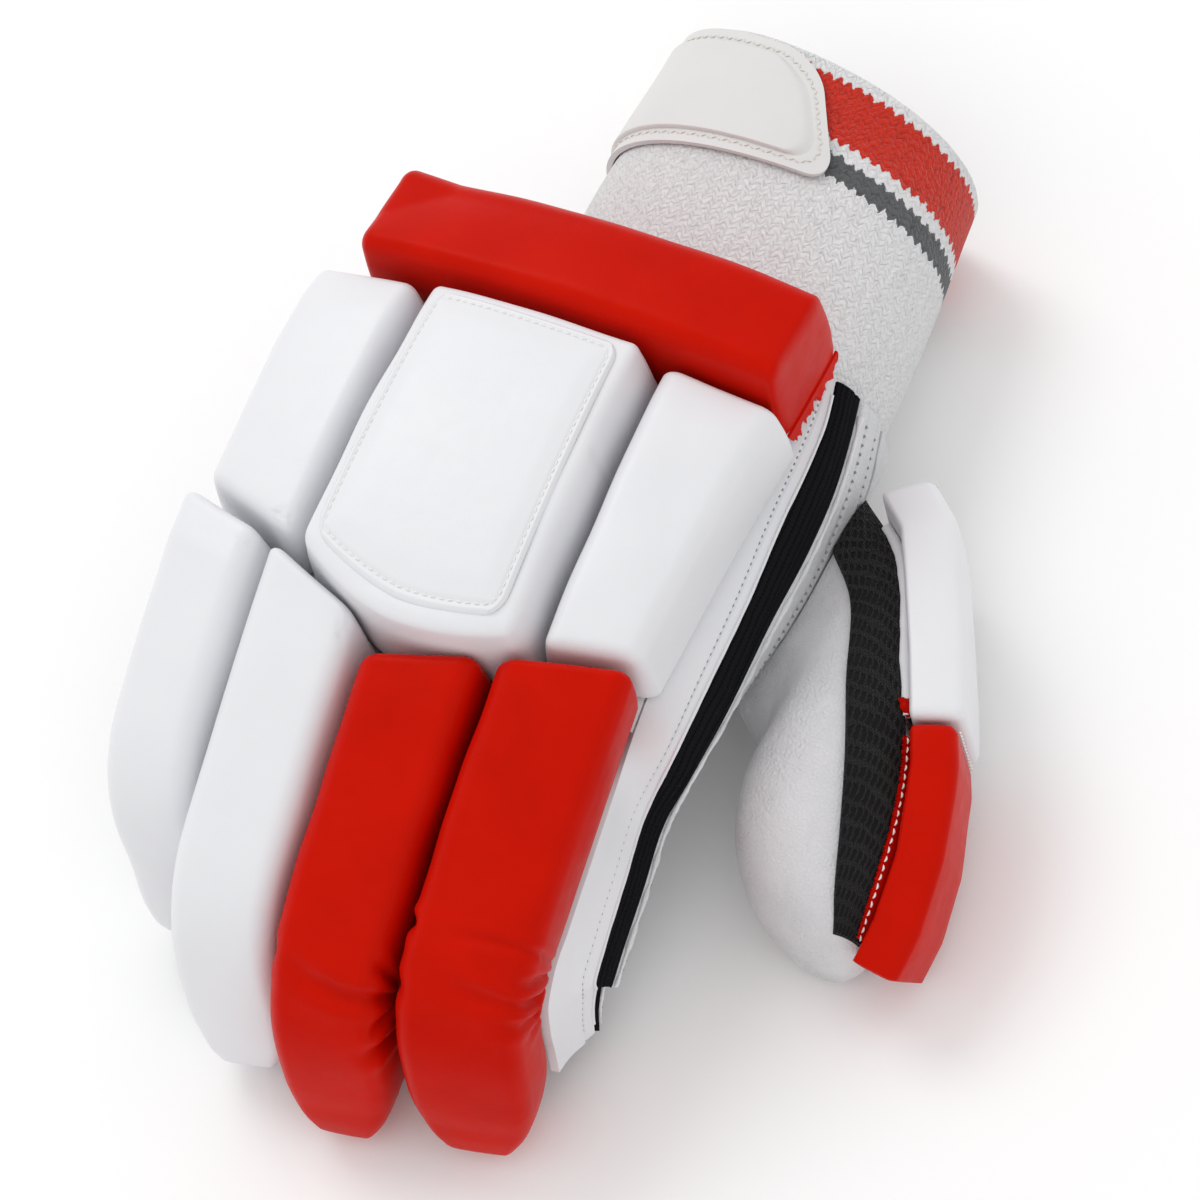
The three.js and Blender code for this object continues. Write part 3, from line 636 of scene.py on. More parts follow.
def piping(name, path, radius, material, slot, sway):
    """A round cord sewn along an edge."""
    spots, normals, along = spaced(*path, 0.9)
    side = np.cross(normals, along)
    angle = np.linspace(0, 2 * np.pi, 11)[:-1]
    size = radius * (1 + sway * waves(spots, 5, 31))
    ring = np.cos(angle)[None, :, None] * side[:, None] + np.sin(angle)[None, :, None] * normals[:, None]
    rows = spots[:, None] + size[:, None, None] * ring
    skin = Skin()
    index = skin.add(rows, grid_uv(rows, True), True)
    skin.cap(index[0])
    skin.cap(index[-1])
    return finish_piece(skin.mesh(name, material, 80), slot)


def ragged(name, path, down, drop, material, slot, seed, thick=0.7):
    """A roughly cut edge of cloth that hangs from a path."""
    spots, normals, along = spaced(*path, 0.45)
    pick = np.random.default_rng(seed)
    cut = np.convolve(pick.uniform(0.25, 1.15, len(spots) + 4), [0.2, 0.3, 0.3, 0.2], "valid")[: len(spots)]
    cut = np.pad(cut, (0, len(spots) - len(cut)), "edge")
    cut = cut + (pick.uniform(0, 1, len(spots)) > 0.85) * 0.35
    ends = smooth(np.minimum(np.arange(len(spots)), np.arange(len(spots))[::-1]) / 4 + 0.25)
    share = np.linspace(0, 1, 6)
    fall = (cut * ends * drop)[:, None] * share[None]
    curl = waves(spots, 4, seed)[:, None] * 0.5 * share[None] ** 2
    down = unit(np.asarray(down, float))
    rows = spots[:, None] + fall[..., None] * down + (curl + 0.1)[..., None] * normals[:, None]
    return finish_piece(wall(name, rows + normals[:, None] * thick, rows, material), slot)


# Walls of the hand

def wall(name, outer, inner, material, wrap=False, closed=False):
    """A wall between two grids, closed along its edges."""
    skin = Skin()
    uv = grid_uv(outer, wrap)
    a = skin.add(outer, uv, wrap)
    b = skin.add(inner, uv, wrap)
    skin.band(a[0], b[0], uv[0], uv[0])
    if closed:
        skin.cap(a[-1])
        skin.cap(b[-1])
    else:
        skin.band(a[-1], b[-1], uv[-1], uv[-1])
    if not wrap:
        skin.band(a[:, 0], b[:, 0], uv[:, 0], uv[:, 0])
        skin.band(a[:, -1], b[:, -1], uv[:, -1], uv[:, -1])
    return skin.mesh(name, material)


def hand_panel(name, material, slot, low, high, count):
    section = hand_at(np.linspace(HAND_Y[0], HAND_Y[-1], 60)[:, None])
    pick = lambda key: section[key] if isinstance(key, str) else key
    angle = mix(pick(low) + SLACK, pick(high) - SLACK, np.linspace(0, 1, count)[None])
    outer = rested(around(section, angle))
    inner = rested(around(section, angle, WALL), WALL)
    return finish_piece(wall(name + "_skin", outer, inner, material), slot, name)


hand_panel("hand_back", WHITE, "white_hide", "gusset", OUTER_TOP, 60)
hand_panel("outer_side", WHITE, "white_hide", OUTER_TOP, OUTER_LOW, 24)
hand_panel("palm", LEATHER, "palm_leather", OUTER_LOW - 360, "palm", 80)


# Foam wrapped in coated cloth

def lattice(xs, ys, zs):
    """Points and faces of a box's surface, cut at the given places along its three sides."""
    sizes = [len(xs), len(ys), len(zs)]
    corners = []
    for axis in range(3):
        a, b = [k for k in range(3) if k != axis]
        grid_a, grid_b = np.meshgrid(np.arange(sizes[a]), np.arange(sizes[b]), indexing="ij")
        for end in (0, sizes[axis] - 1):
            cell = np.zeros(grid_a.shape + (3,), int)
            cell[..., a] = grid_a
            cell[..., b] = grid_b
            cell[..., axis] = end
            quad = np.stack([cell[:-1, :-1], cell[:-1, 1:], cell[1:, 1:], cell[1:, :-1]], axis=2)
            corners.append(quad.reshape(-1, 3))
    corners = np.concatenate(corners)
    found, faces = np.unique(corners, axis=0, return_inverse=True)
    return xyz(xs[found[:, 0]], ys[found[:, 1]], zs[found[:, 2]]), faces.reshape(-1, 4)


def cuts(low, high, edge_low, edge_high, spacing, fine=5):
    """Places to cut a side: close together where its ends are rounded."""
    first = np.linspace(low, low + edge_low, fine, endpoint=False)
    last = np.linspace(high - edge_high, high, fine + 1)[1:]
    count = max(2, int(round((high - low - edge_low - edge_high) / spacing)) + 1)
    return np.concatenate([first, np.linspace(low + edge_low, high - edge_high, count), last])


def rounded(points, low, high, radius_low, radius_high):
    """Points of a box's surface pushed onto the same box with rounded edges."""
    inner_low = low + radius_low
    inner_high = high - radius_high
    core = np.clip(points, inner_low, inner_high)
    away = points - core
    radius = np.where(away < 0, radius_low, radius_high)
    scaled = away / radius
    size = np.linalg.norm(scaled, axis=1, keepdims=True)
    return core + np.where(size > 0, scaled / np.maximum(size, 1e-9), 0) * radius


def wrapped(
    name, width, length, height, place_point, material, radius, spacing=1.6, creases=(), crown=0.8,
    puff=0.7, seed=1, uneven=0.25
):
    """A foam block in cloth: local x across, y along, z up. radius: top edges, two ends, underside."""
    top, start, end, under = radius
    low = np.array([-width / 2, 0.0, 0.0])
    high = np.array([width / 2, length, height])
    xs = cuts(low[0], high[0], top, top, spacing)
    ys = cuts(low[1], high[1], start, end, spacing, 5)
    zs = cuts(low[2], high[2], under, top, spacing * 1.3, 4)
    points, faces = lattice(xs, ys, zs)
    local = rounded(points, low, high, np.array([top, start, under]), np.array([top, end, top]))
    x, y, z = local.T
    across = x / (width / 2)
    along = y / length
    up = z / height
    full = (1 - np.abs(across) ** 3) * (1 - np.abs(2 * along - 1) ** 6)
    local[:, 2] += crown * full * smooth((up - 0.5) * 2)
    local[:, 0] += np.sign(x) * puff * np.sin(np.pi * np.clip(up, 0, 1)) * smooth(
        (np.abs(across) - 0.7) / 0.3
    )
    developed = np.where(
        np.abs(points[:, 0]) >= width / 2 - 1e-6, np.sign(x) * (width / 2 + height - points[:, 2]),
        points[:, 0]
    )
    placed_points = place_point(local)
    skin = Skin()
    skin.points = [placed_points]
    skin.count = len(placed_points)
    skin.quads = [faces]
    flat = np.stack([developed, points[:, 1]], axis=1)
    skin.uvs = [flat[faces]]
    obj = skin.mesh(name, material, 80)
    out = np.zeros(len(placed_points) * 3)
    obj.data.vertex_normals.foreach_get("vector", out)
    out = out.reshape(-1, 3)
    lift = uneven * waves(placed_points, 26, seed) * smooth(up * 3)
    for crease in creases:
        lift = lift + pressed(flat, *crease)
    moved = (placed_points + out * lift[:, None] + SHIFT) / 1000
    moved[:, 2] = np.maximum(moved[:, 2], 0.0002)
    obj.data.vertices.foreach_set("co", moved.astype(np.float32).ravel())
    obj.data.update()
    return obj


def pressed(flat, path, depth, wide, ridge=0.35, fade=(0.15, 0.4)):
    """A fold along a path on the cover, deepest near its start, with a soft ridge beside it."""
    path = np.asarray(path, float)
    best = np.full(len(flat), 1e9)
    where = np.zeros(len(flat))
    side = np.zeros(len(flat))
    total = np.linalg.norm(np.diff(path, axis=0), axis=1).sum()
    done = 0.0
    for a, b in zip(path[:-1], path[1:]):
        way = b - a
        size = np.linalg.norm(way)
        t = np.clip(((flat - a) @ way) / size**2, 0, 1)
        off = flat - (a + t[:, None] * way)
        distance = np.linalg.norm(off, axis=1)
        better = distance < best
        best = np.where(better, distance, best)
        where = np.where(better, (done + t * size) / total, where)
        side = np.where(better, (off @ np.array([-way[1], way[0]])) / size, side)
        done += size
    strong = smooth((where + fade[0]) / max(fade[0], 1e-6) / 2) * (
        1 - smooth((where - 1 + fade[1]) / fade[1])
    )
    reach = wide * (0.8 + 0.7 * where)
    groove = -np.exp(-((best / reach) ** 2))
    bulge = ridge * np.exp(-(((np.abs(side) - 1.9 * reach) / (1.2 * reach)) ** 2)) * (best < 6 * reach)
    return depth * strong * (groove + bulge)


def block_plan(name):
    front_a, front_b, in_a, in_b, back_a, back_b, tip, draft, rise = BLOCKS[name]
    front_left = np.array([front_a * HAND_WIDTH, KNUCKLE_Y + in_a * HAND_WIDTH])
    front_right = np.array([front_b * HAND_WIDTH, KNUCKLE_Y + in_b * HAND_WIDTH])
    back_left = np.array([back_a * HAND_WIDTH, BLOCK_BACK])
    back_right = np.array([back_b * HAND_WIDTH, BLOCK_BACK])
    width = front_right[0] - front_left[0]
    length = BLOCK_BACK - front_left[1]
    height = CENTRE_HEIGHT if name == "centre" else BLOCK_HEIGHT

    def put(local):
        up = local[:, 2]
        high = np.clip(up / height, 0, 1)
        across = local[:, 0] * (1 - draft * high / (width / 2)) / width + 0.5
        along = np.clip(local[:, 1] / length, 0, 1)
        along = 0.5 + (along - 0.5) * (1 - 0.8 * high / (length / 2))
        corner = lambda k: mix(
            mix(front_left[k], front_right[k], across), mix(back_left[k], back_right[k], across), along
        )
        x = corner(0)
        bow = 1 - np.abs(2 * across - 1) ** 1.7
        y = corner(1) - 0.9 * tip * HAND_WIDTH * bow * (1 - smooth(along / 0.4))
        lifted = up * (1 + rise * smooth(along * 1.1) / height)
        return xyz(x, y, pad_base(x, y) + lifted)

    return put, width, length, height


# Creases of the blocks as lines over the cover, with depth and width.
BLOCK_FOLDS = {
    "outer": [
        ([(11.5, 3), (13.5, 3.4), (17, 3)], 0.8, 0.6),
        ([(9, 1), (11.5, 2.2), (14, 1.2)], 0.7, 0.5),
    ],
    "centre": [([(31, 44), (36, 43.4), (50, 43)], 0.55, 0.35)],
    "inner": [],
}
for name, seed in (("outer", 3), ("centre", 4), ("inner", 5)):
    put, width, length, height = block_plan(name)
    radius = (3.4, 2.8, 2.4, 1.6) if name != "centre" else (2.3, 3.2, 2.2, 1.6)
    piece = wrapped(
        f"block_{name}", width, length, height, put, WHITE, radius, 1.3, BLOCK_FOLDS[name], seed=seed
    )
    finish_piece(piece, "white_hide", f"knuckle_block_{name}", fill=0.9)


def bar_point(local):
    along = local[:, 1] / BAR_LENGTH
    x = BAR_LEFT * HAND_WIDTH + local[:, 1]
    y = BLOCK_BACK + BAR_FRONT + (0.5 - along) * BAR_SLANT + GAP + BAR_WIDTH / 2
    up = local[:, 2]
    y = y + local[:, 0] * (1 - PAD_DRAFT * up / BAR_HEIGHT / (BAR_WIDTH / 2))
    return xyz(x, y, pad_base(x, y, 0.55) + up)


BAR_FOLDS = [([(-15.5, 108.6), (-24, 108.8), (-42, 108.2)], 0.6, 0.4)]
bar = wrapped(
    "bar_roll", BAR_WIDTH, BAR_LENGTH, BAR_HEIGHT, bar_point, RED, (4.6, 3.2, 1.8, 1.6), 1.3, BAR_FOLDS,
    seed=8, crown=1.0
)
finish_piece(bar, "red_hide", "wrist_bar", fill=0.9)
low_end = xyz(np.linspace(BAR_WIDTH / 2 - 1, -BAR_WIDTH / 2 + 0.5, 20), BAR_LENGTH - 0.3, 1.4)
ragged(
    "bar_cut_edge", on_cushion(bar_point, low_end, (0, 1, 0)), (0.25, -0.15, -1), 3.4, RED, "red_hide", 5
)


def way_down(heading, dip):
    return xyz(np.sin(heading) * np.cos(dip), -np.cos(heading) * np.cos(dip), -np.sin(dip))


def finger_path(name):
    x0, start, skew, wide, roll, splay, long, dip, bend_from, turn = FINGERS[name]
    x0 = x0 * HAND_WIDTH
    length = long * FINGER_LENGTH + (MIDDLE_REACH if name == "middle" else 0)
    count = 360
    share = np.linspace(0, 1, count + 1)
    bent = smooth((share - bend_from) / BEND_OVER)
    heading = np.radians(splay + bent * turn)
    tilt = math.radians(roll)
    side = xyz(np.cos(heading) * math.cos(tilt), np.sin(heading) * math.cos(tilt), -math.sin(tilt))
    pitch = np.radians(mix(FIRST_DIP, dip, bent))
    along = way_down(heading, pitch)
    facing = way_down(heading, pitch * smooth(share * length / 30))
    up = -unit(np.cross(facing, side))
    up = np.where(up[:, 2:] < 0, -up, up)
    at = np.zeros((count + 1, 3))
    at[0] = (x0, KNUCKLE_Y - GAP, float(pad_base(np.array(x0), np.array(KNUCKLE_Y))))
    at[1:] = at[0] + np.cumsum(along[:-1] * (length / count), axis=0)

    def look(distance):
        k = np.clip(distance / length, 0, 1) * count
        spot, *ways = (picked(k, np.arange(count + 1), table) for table in (at, side, up, along))
        back = np.minimum(distance, 0)
        spot[..., 1] -= back
        spot[..., 2] -= back * BACK_RISE
        return spot, *ways

    return look, length


def placed(look, distance, across, up, forward=0.0):
    spot, *ways = look(distance)
    for way, far in zip(ways, (across, up, forward)):
        spot = spot + way * np.asarray(far)[..., None]
    return spot


# The covers round off further than the foam does at the tip, and bulge over it.
TOE = 0.7
TOE_HIGH = [(0.0, 1.0), (0.8, 1.0), (0.87, 1.03), (0.93, 1.12), (0.97, 1.24), (1.0, 1.34)]


def pad_point(name):
    _, start, skew, wide, *_ = FINGERS[name]
    start, skew = start * HAND_WIDTH, skew * HAND_WIDTH
    look, length = finger_path(name)
    first = -start
    keys = [first, *[row[0] * length for row in STATIONS]]
    widths = [1.0, *[row[1] for row in STATIONS]]
    heights = [1.0, *[row[2] for row in STATIONS]]

    def put(local):
        distance = first + local[:, 1]
        wide_here = through(keys, widths, np.minimum(distance, TOE * length))
        toe = np.clip((distance / length - TOE) / (1 - TOE), 0, 1)
        wide_here = wide_here * np.sqrt(1 - 0.96 * toe**2.6)
        high_here = through(keys, heights, distance) * through(*zip(*TOE_HIGH), distance / length)
        lean = 1 - PAD_DRAFT * np.clip(local[:, 2] / PAD_HEIGHT, 0, 1) / (PAD_WIDTH * wide / 2)
        across = local[:, 0] * wide_here * lean
        up = local[:, 2] * high_here + PAD_LIFT
        fade = np.maximum(0, 1 - (distance - first) / 45)
        forward = -across / PAD_WIDTH / wide * skew * fade
        return placed(look, distance, across, up, forward)

    return put, PAD_WIDTH * wide, length + start


# Folds across the covers where the fingers bend: path over the cover, depth, width.
FOLDS = {
    "index": [
        ([(34, 58), (20, 56.6), (12, 57.3), (5, 58), (-5, 59.4), (-15, 59.8)], 0.7, 1.0),
        ([(34, 61), (24, 62.2), (15, 63.6), (9, 63.8)], 1.1, 0.8),
        ([(34, 63.5), (28, 66), (18, 66.2), (11, 66.6), (2, 66.6), (-10, 66.6)], 1.5, 0.9),
        ([(34, 67), (28, 69.3), (19, 69.4), (10, 69), (4, 68.6)], 1.1, 0.8),
        ([(34, 72), (28, 72), (22, 71.6)], 0.6, 0.8),
        ([(-34, 60), (-19, 60.2), (-14, 60.8)], 1.4, 1.0),
        ([(-34, 69), (-19, 69), (-11, 68.6)], 0.8, 1.0),
    ],
    "middle": [
        ([(32, 68.4), (25, 65.4), (17.9, 62.8), (11, 62)], 1.2, 0.9),
        (
            [(32, 69), (23, 67.8), (18, 67.2), (12, 67.2), (5, 67.4), (-1, 66.8), (-8, 65.6), (-15, 64.7)],
            1.6, 1.0
        ),
        ([(30, 69.5), (19, 71), (13, 73)], 1.3, 0.8),
        ([(30, 77), (19, 75.5), (14, 75.6), (8, 76)], 1.4, 1.0),
        ([(-34, 64), (-20, 64.3), (-15, 64.6)], 1.8, 0.9),
    ],
    "ring": [([(15, 4), (12, 4.6), (9, 4)], 0.7, 0.6), ([(15, 7), (12, 7.4)], 0.5, 0.6)],
    "little": [([(14, 5), (11, 5.8), (8, 5.2)], 0.6, 0.7)],
}
for name, seed in (("index", 11), ("middle", 12), ("ring", 13), ("little", 14)):
    put, width, length = pad_point(name)
    hide = RED if name in ("index", "middle") else WHITE
    piece = wrapped(
        f"{name}_roll", width, length, PAD_HEIGHT, put, hide, (4.2, 2.6, 11.0, 1.6),
        0.7 if hide is RED else 1.2, FOLDS[name], seed=seed
    )
    finish_piece(piece, "red_hide" if hide is RED else "white_hide", f"{name}_pad", fill=0.85)

    look, reach = finger_path(name)
    rows = [(0, 1.0), *[(row[0], row[3]) for row in STATIONS if row[3]]]
    along = np.linspace(0, rows[-1][0], 46)[:, None]
    size = through([r[0] for r in rows], [r[1] for r in rows], along)
    turn = np.linspace(0, 2 * np.pi, 37)[None, 1:]
    shape = lambda value: np.sign(value) * np.abs(value) ** 0.8

    def ring(inset):
        half = STALL_WIDTH / 2 * min(1, FINGERS[name][3]) * size - inset
        tall = STALL_HEIGHT / 2 * size
        across = half * shape(np.cos(turn))
        up = (tall - inset) * shape(np.sin(turn)) - tall
        distance = np.broadcast_to(along * reach, across.shape)
        return rested(placed(look, distance, across, up), inset)

    tube = wall(f"{name}_tube", ring(0), ring(WALL), LEATHER, wrap=True, closed=True)
    finish_piece(tube, "palm_leather", f"{name}_stall")


# The stitched panel on the middle block

BADGE = (0.045, 0.945, 0.05, 0.965)
BADGE_CORNER = 4.6


def badge_spots(across, along, lift):
    """Places on the panel from shares of the block's own width and length."""
    put, width, length, height = block_plan("centre")
    full = (1 - np.abs(2 * across - 1) ** 3) * (1 - np.abs(2 * along - 1) ** 6)
    local = xyz((across - 0.5) * width, along * length, height)
    rows = put(local.reshape(-1, 3)).reshape(local.shape)
    rows[..., 2] += 0.8 * full + lift
    return rows


def badge_grid(raised):
    _, width, length, _ = block_plan("centre")
    left, right, front, rear = BADGE
    wide, long = (right - left) * width, (rear - front) * length
    x = cuts(0, 1, 4 / wide, 4 / wide, 1.2 / wide, 12)
    y = cuts(0, long, 4, 4, 1.2, 12)
    from_end = np.minimum(y, long - y)
    inset = BADGE_CORNER - np.sqrt(BADGE_CORNER**2 - np.maximum(0, BADGE_CORNER - from_end) ** 2)
    across = (left * width + inset[:, None] + (wide - 2 * inset[:, None]) * x[None]) / width
    along = np.broadcast_to(front + y[:, None] / length, across.shape)
    away = np.minimum(np.minimum(x, 1 - x)[None] * wide, from_end[:, None])
    seam = 0.4 * np.exp(-(((away - 1.9) / 0.5) ** 2))
    lift = 0.25 + smooth(away / 0.8) - seam + 0.55 * smooth((away - 2) / 5)
    return badge_spots(across, along, lift if raised else np.full(across.shape, 0.1))


finish_piece(wall("panel_skin", badge_grid(True), badge_grid(False), WHITE), "white_hide", "badge_panel")


def badge_seam(inset):
    _, width, length, _ = block_plan("centre")
    left, right, front, rear = BADGE
    round_by = BADGE_CORNER - inset * 0.6
    low_x, low_y = left * width + inset + round_by, front * length + inset + round_by
    high_x, high_y = right * width - inset - round_by, rear * length - inset - round_by
    path = []
    for start, x, y in (0, high_x, high_y), (90, low_x, high_y), (180, low_x, low_y), (270, high_x, low_y):
        angle = np.radians(np.linspace(start, start + 90, 8))
        path.append(np.stack([x + round_by * np.cos(angle), y + round_by * np.sin(angle)], axis=1))
    path = np.concatenate([*path, path[0][:1]])
    far = np.concatenate([[0], np.cumsum(np.linalg.norm(np.diff(path, axis=0), axis=1))])
    at = np.linspace(0, far[-1], 400)
    x, y = picked(at, far, path).T
    spots = badge_spots(x / width, y / length, 0.86)
    return spots, np.tile(np.array([0, 0, 1.0]), (len(spots), 1))


sew("badge_stitches", badge_seam(1.9), THREAD, "white_hide", 2.1, 0.27, 0.8, 0.1, 9)


# Strips down the thumb side

SIDE = [
    ("side_gusset", "gusset", "knit", 0, 0.47, WHITE, "white_hide"),
    ("side_knit", "knit", "binding", 0.48, 0.73, BLACK_KNIT, "black_knit"),
    ("side_binding", "binding", "palm", 0.76, 1.16, LEATHER, "palm_leather"),
]
SIDE_DOWN = [0, 0.25, 0.48, 0.7, 0.82, 0.95, 1.06, 1.2]
SIDE_OUT = [0.3, 2.9, 6.8, 10, 10.6, 9, 5.2, -1]
SIDE_DEPTH = STALL_HEIGHT + 3
SIDE_TAPER = 0.35
# How far the binding reaches over the knit, and how much the knit narrows to its end
BINDING_OVER = 0.22
KNIT_TAPER = 0.21


def side_rows(high, low, start, end, inset, lift=0.0):
    look, length = finger_path("index")
    share = np.linspace(0, 1, 60)
    rows = []
    for y in HAND_Y[::-1]:
        section = hand_at(y)
        shift = BINDING_OVER * (section["knit"] - section["binding"])
        top = section[high] + (shift if high == "binding" else 0)
        base = section[low] + (shift if low == "binding" else 0)
        angle = mix(top - SLACK, base + SLACK, share)
        rows.append(rested(around(section, angle, inset - lift), inset))
    for i, station in enumerate(STATIONS[:8]):
        size = 1 - SIDE_TAPER * smooth((i - 4) / 3)
        late = KNIT_TAPER * (i / 7) ** 1.6
        moves = {"gusset": (0, late), "knit": (late, 0), "binding": (0, -late)}[high]
        down = mix(start + moves[0], end + moves[1], share)
        out = PAD_WIDTH * 1.1 / 2 + GAP + through(SIDE_DOWN, SIDE_OUT, down) * size
        away = np.full(60, station[0] * length)
        rows.append(rested(placed(look, away, out - inset + lift, -GAP - down * SIDE_DEPTH * size), inset))
    return finer(rows, 150)


# Relief across each strip: share across it, height over the solid.
RELIEF = {
    "side_gusset": [
        (0, 0), (0.68, 0), (0.71, 0.1), (0.73, -0.6), (0.77, -0.65), (0.8, -0.4), (0.92, -0.3),
        (0.97, -0.1), (1, -0.5)
    ],
    "side_knit": [(0, -0.4), (0.12, 0.1), (0.4, 0.5), (0.62, 0.3), (0.72, -0.2), (0.8, 0.1), (1, -0.3)],
    "side_binding": [
        (0, -0.9), (0.08, 0.1), (0.24, 0.2), (0.3, -0.15), (0.36, 0.2), (0.64, 0.4), (0.7, -0.1),
        (0.76, 0.2), (0.9, 0.1), (1, -0.6)
    ],
}
for name, high, low, start, end, material, slot in SIDE:
    share = np.linspace(0, 1, 60)
    relief = np.interp(share, *zip(*RELIEF[name]))
    outer = side_rows(high, low, start, end, 0, relief)
    piece = wall(name + "_skin", outer, side_rows(high, low, start, end, WALL), material)
    finish_piece(piece, slot, name)
    run = np.linspace(0.02, 0.985, 400)
    seam = lambda at: on_grid(outer, run, np.full(400, at), (1, -0.2, 0.4))
    if name == "side_gusset":
        sew("gusset_stitches", seam(0.75), NEEDLE_HOLE_SHADE, slot, 1.9, 0.24, 0.45, 0.05)
        piping("gusset_piping", seam(0.97), 0.45, WHITE, slot, sway=0.1)
    if name == "side_binding":
        sew("binding_stitches_upper", seam(0.3), NEEDLE_HOLE_SHADE, slot, 2.3, 0.3, 0.4, 0.02)
        sew("binding_stitches_lower", seam(0.7), NEEDLE_HOLE_SHADE, slot, 2.3, 0.3, 0.4, 0.02)
        piping("binding_roll", seam(0.07), 0.6, FLEECE, slot, sway=0.45)


# The cuff and its strap

CUFF_Y = np.array([KNUCKLE_Y + HAND_LENGTH + GAP + row[0] * CUFF_LENGTH for row in CUFF])
CUFF_ROWS = np.array(
    [((r[1] - r[2]) * CUFF_WIDTH, (r[1] + r[2]) * CUFF_WIDTH, r[3] * CUFF_HEIGHT, -6 * r[0]) for r in CUFF]
)


def cuff_at(along):
    y = CUFF_Y[0] + np.asarray(along, float) * CUFF_LENGTH
    row = through(CUFF_Y, CUFF_ROWS, y)
    return {
        "y": y, "left": row[..., 0], "right": row[..., 1], "low": -CUFF_SINK, "high": row[..., 2],
        "skew": row[..., 3]
    }


def cuff_rows(inset, share):
    angle = np.linspace(0, 360, 181)[None, 1:]
    return rested(
        around(cuff_at(share[:, None]), angle, inset, CUFF_ROUNDNESS), inset if np.isscalar(inset) else 0
    )


rim = np.linspace(0, 1, 90)
outer = cuff_rows(0.0, rim)
inner = cuff_rows(KNIT, rim)
uv = grid_uv(outer, True)
uv[..., 1] = uv[-1:, :, 1] - uv[..., 1]
skin = Skin()
a = skin.add(outer, uv, True)
b = skin.add(inner, uv, True)
middle = (outer[-1] + inner[-1]) / 2 + np.array([0, 1.2, 0])
c = skin.add(middle[None], np.zeros((1, 181, 2)), True)
skin.band(a[-1], c[0], uv[-1], uv[-1])
skin.band(c[0], b[-1], uv[-1], uv[-1])
skin.band(a[0], b[0], uv[0], uv[0])
finish_piece(skin.mesh("cuff_knit", CUFF_KNIT), "white_knit", "cuff")


FLANGE = 3.4
# Where the strap's free end and hidden end are round the cuff, in degrees, and the free end's slant
STRAP_FREE = 88
STRAP_HIDDEN = 212
STRAP_SLANT = 20


def strap_rows(lift, inset=0.0):
    """Rows over the strap's width; inset pulls its outline in."""
    first = 0.985 - STRAP_WIDTH / CUFF_LENGTH
    shares = 0.5 - 0.5 * np.cos(np.linspace(0, np.pi, 40))
    trim = inset / STRAP_WIDTH
    rows = []
    for share in mix(trim, 1 - trim, shares):
        section = cuff_at(mix(first, 0.985, share))
        section["skew"] = section["skew"] + 4 * (1 - share)
        edge = min(share - trim, 1 - trim - share) / 0.26
        corner = 10 * (1 - math.sqrt(1 - max(0.0, 1 - max(0.0, edge)) ** 2))
        start = STRAP_FREE - STRAP_SLANT * (1 - share) + corner + inset * 1.3
        angle = mix(start, STRAP_HIDDEN, np.linspace(0, 1, 120))
        rows.append(rested(around(section, angle, -lift, CUFF_ROUNDNESS)))
    return np.array(rows)


strap = wall("strap_skin", strap_rows(1.4 + 2 * GAP), strap_rows(2 * GAP), STRAP_HIDE)
finish_piece(strap, "white_hide", "wrist_strap")
raised = strap_rows(STRAP + 2 * GAP, FLANGE)
fall = smooth(np.minimum(np.linspace(0, 1, 40), np.linspace(1, 0, 40)) * 14)
slide = smooth(np.linspace(0, 1, 120) * 34)
base = strap_rows(1.3 + 2 * GAP, FLANGE)
raised = base + (raised - base) * np.minimum.outer(fall, slide)[..., None]
finish_piece(wall("strap_panel", raised, strap_rows(1.0 + 2 * GAP, FLANGE), STRAP_HIDE), "white_hide")
seam = strap_rows(1.45 + 2 * GAP, FLANGE - 1.1)
above = strap_rows(2.45 + 2 * GAP, FLANGE - 1.1)
seam, above = (np.concatenate([rows[0][::-1], rows[1:-1, 0], rows[-1]]) for rows in (seam, above))
sew("strap_stitches", (seam, unit(above - seam)), WARM_THREAD, "white_hide", 1.5, 0.2, 0.95, 0.05, 34, 0.1)


# The thumb

THUMB_Y = KNUCKLE_Y + 0.885 * HAND_LENGTH
# Where the mesh lies round the thumb, in degrees
MESH_FROM = 28
MESH_TO = 74


def rib_end(out, on, mid):
    x = 0.3 * HAND_WIDTH + GAP + out * THUMB_REACH
    return np.array([x, THUMB_Y - on * THUMB_LENGTH, mid * THUMB_HEIGHT])


RIB_ROWS = [(rib_end(r[0], r[1], r[4]), rib_end(r[2], r[3], r[5]), r[6] * THUMB_HEIGHT / 2) for r in RIBS]


def hand_side(y, z):
    row = hand_at(y)
    tall = (row["high"] - row["low"]) / 2
    share = np.minimum(0.96, np.abs(z - (row["high"] + row["low"]) / 2) / tall)
    half = (row["right"] - row["left"]) / 2
    return (row["right"] + row["left"]) / 2 + half * (1 - share**ROUNDNESS) ** (1 / ROUNDNESS)


def rib_point(rib, angle, inset, root=False):
    inner, outer, tall = rib
    c, s = np.cos(np.radians(angle)), np.sin(np.radians(angle))
    half = np.linalg.norm(outer - inner) / 2
    share = 0.5 + 0.5 * (half - inset) * np.sign(c) * np.abs(c) ** 0.85 / half
    p = inner + share[:, None] * (outer - inner)
    p[:, 2] += (tall - inset) * np.sign(s) * np.abs(s) ** 0.85
    if root:
        p[:, 0] = np.maximum(hand_side(p[:, 1], p[:, 2]), hand_at(p[:, 1])["right"] - 7) + 2 * GAP
    return rested(p, max(0, inset))


def thumb_rows(inset, angles, first=0, last=8, count=80):
    rows = [rib_point(rib, angles, inset, i == 0) for i, rib in enumerate(RIB_ROWS)][first:last]
    if inset > 0 and last == 8:
        rows[-1] = rows[-1] + np.array([-0.3 * inset, inset, 0])
    return rested(finer(rows, count), max(0, inset))


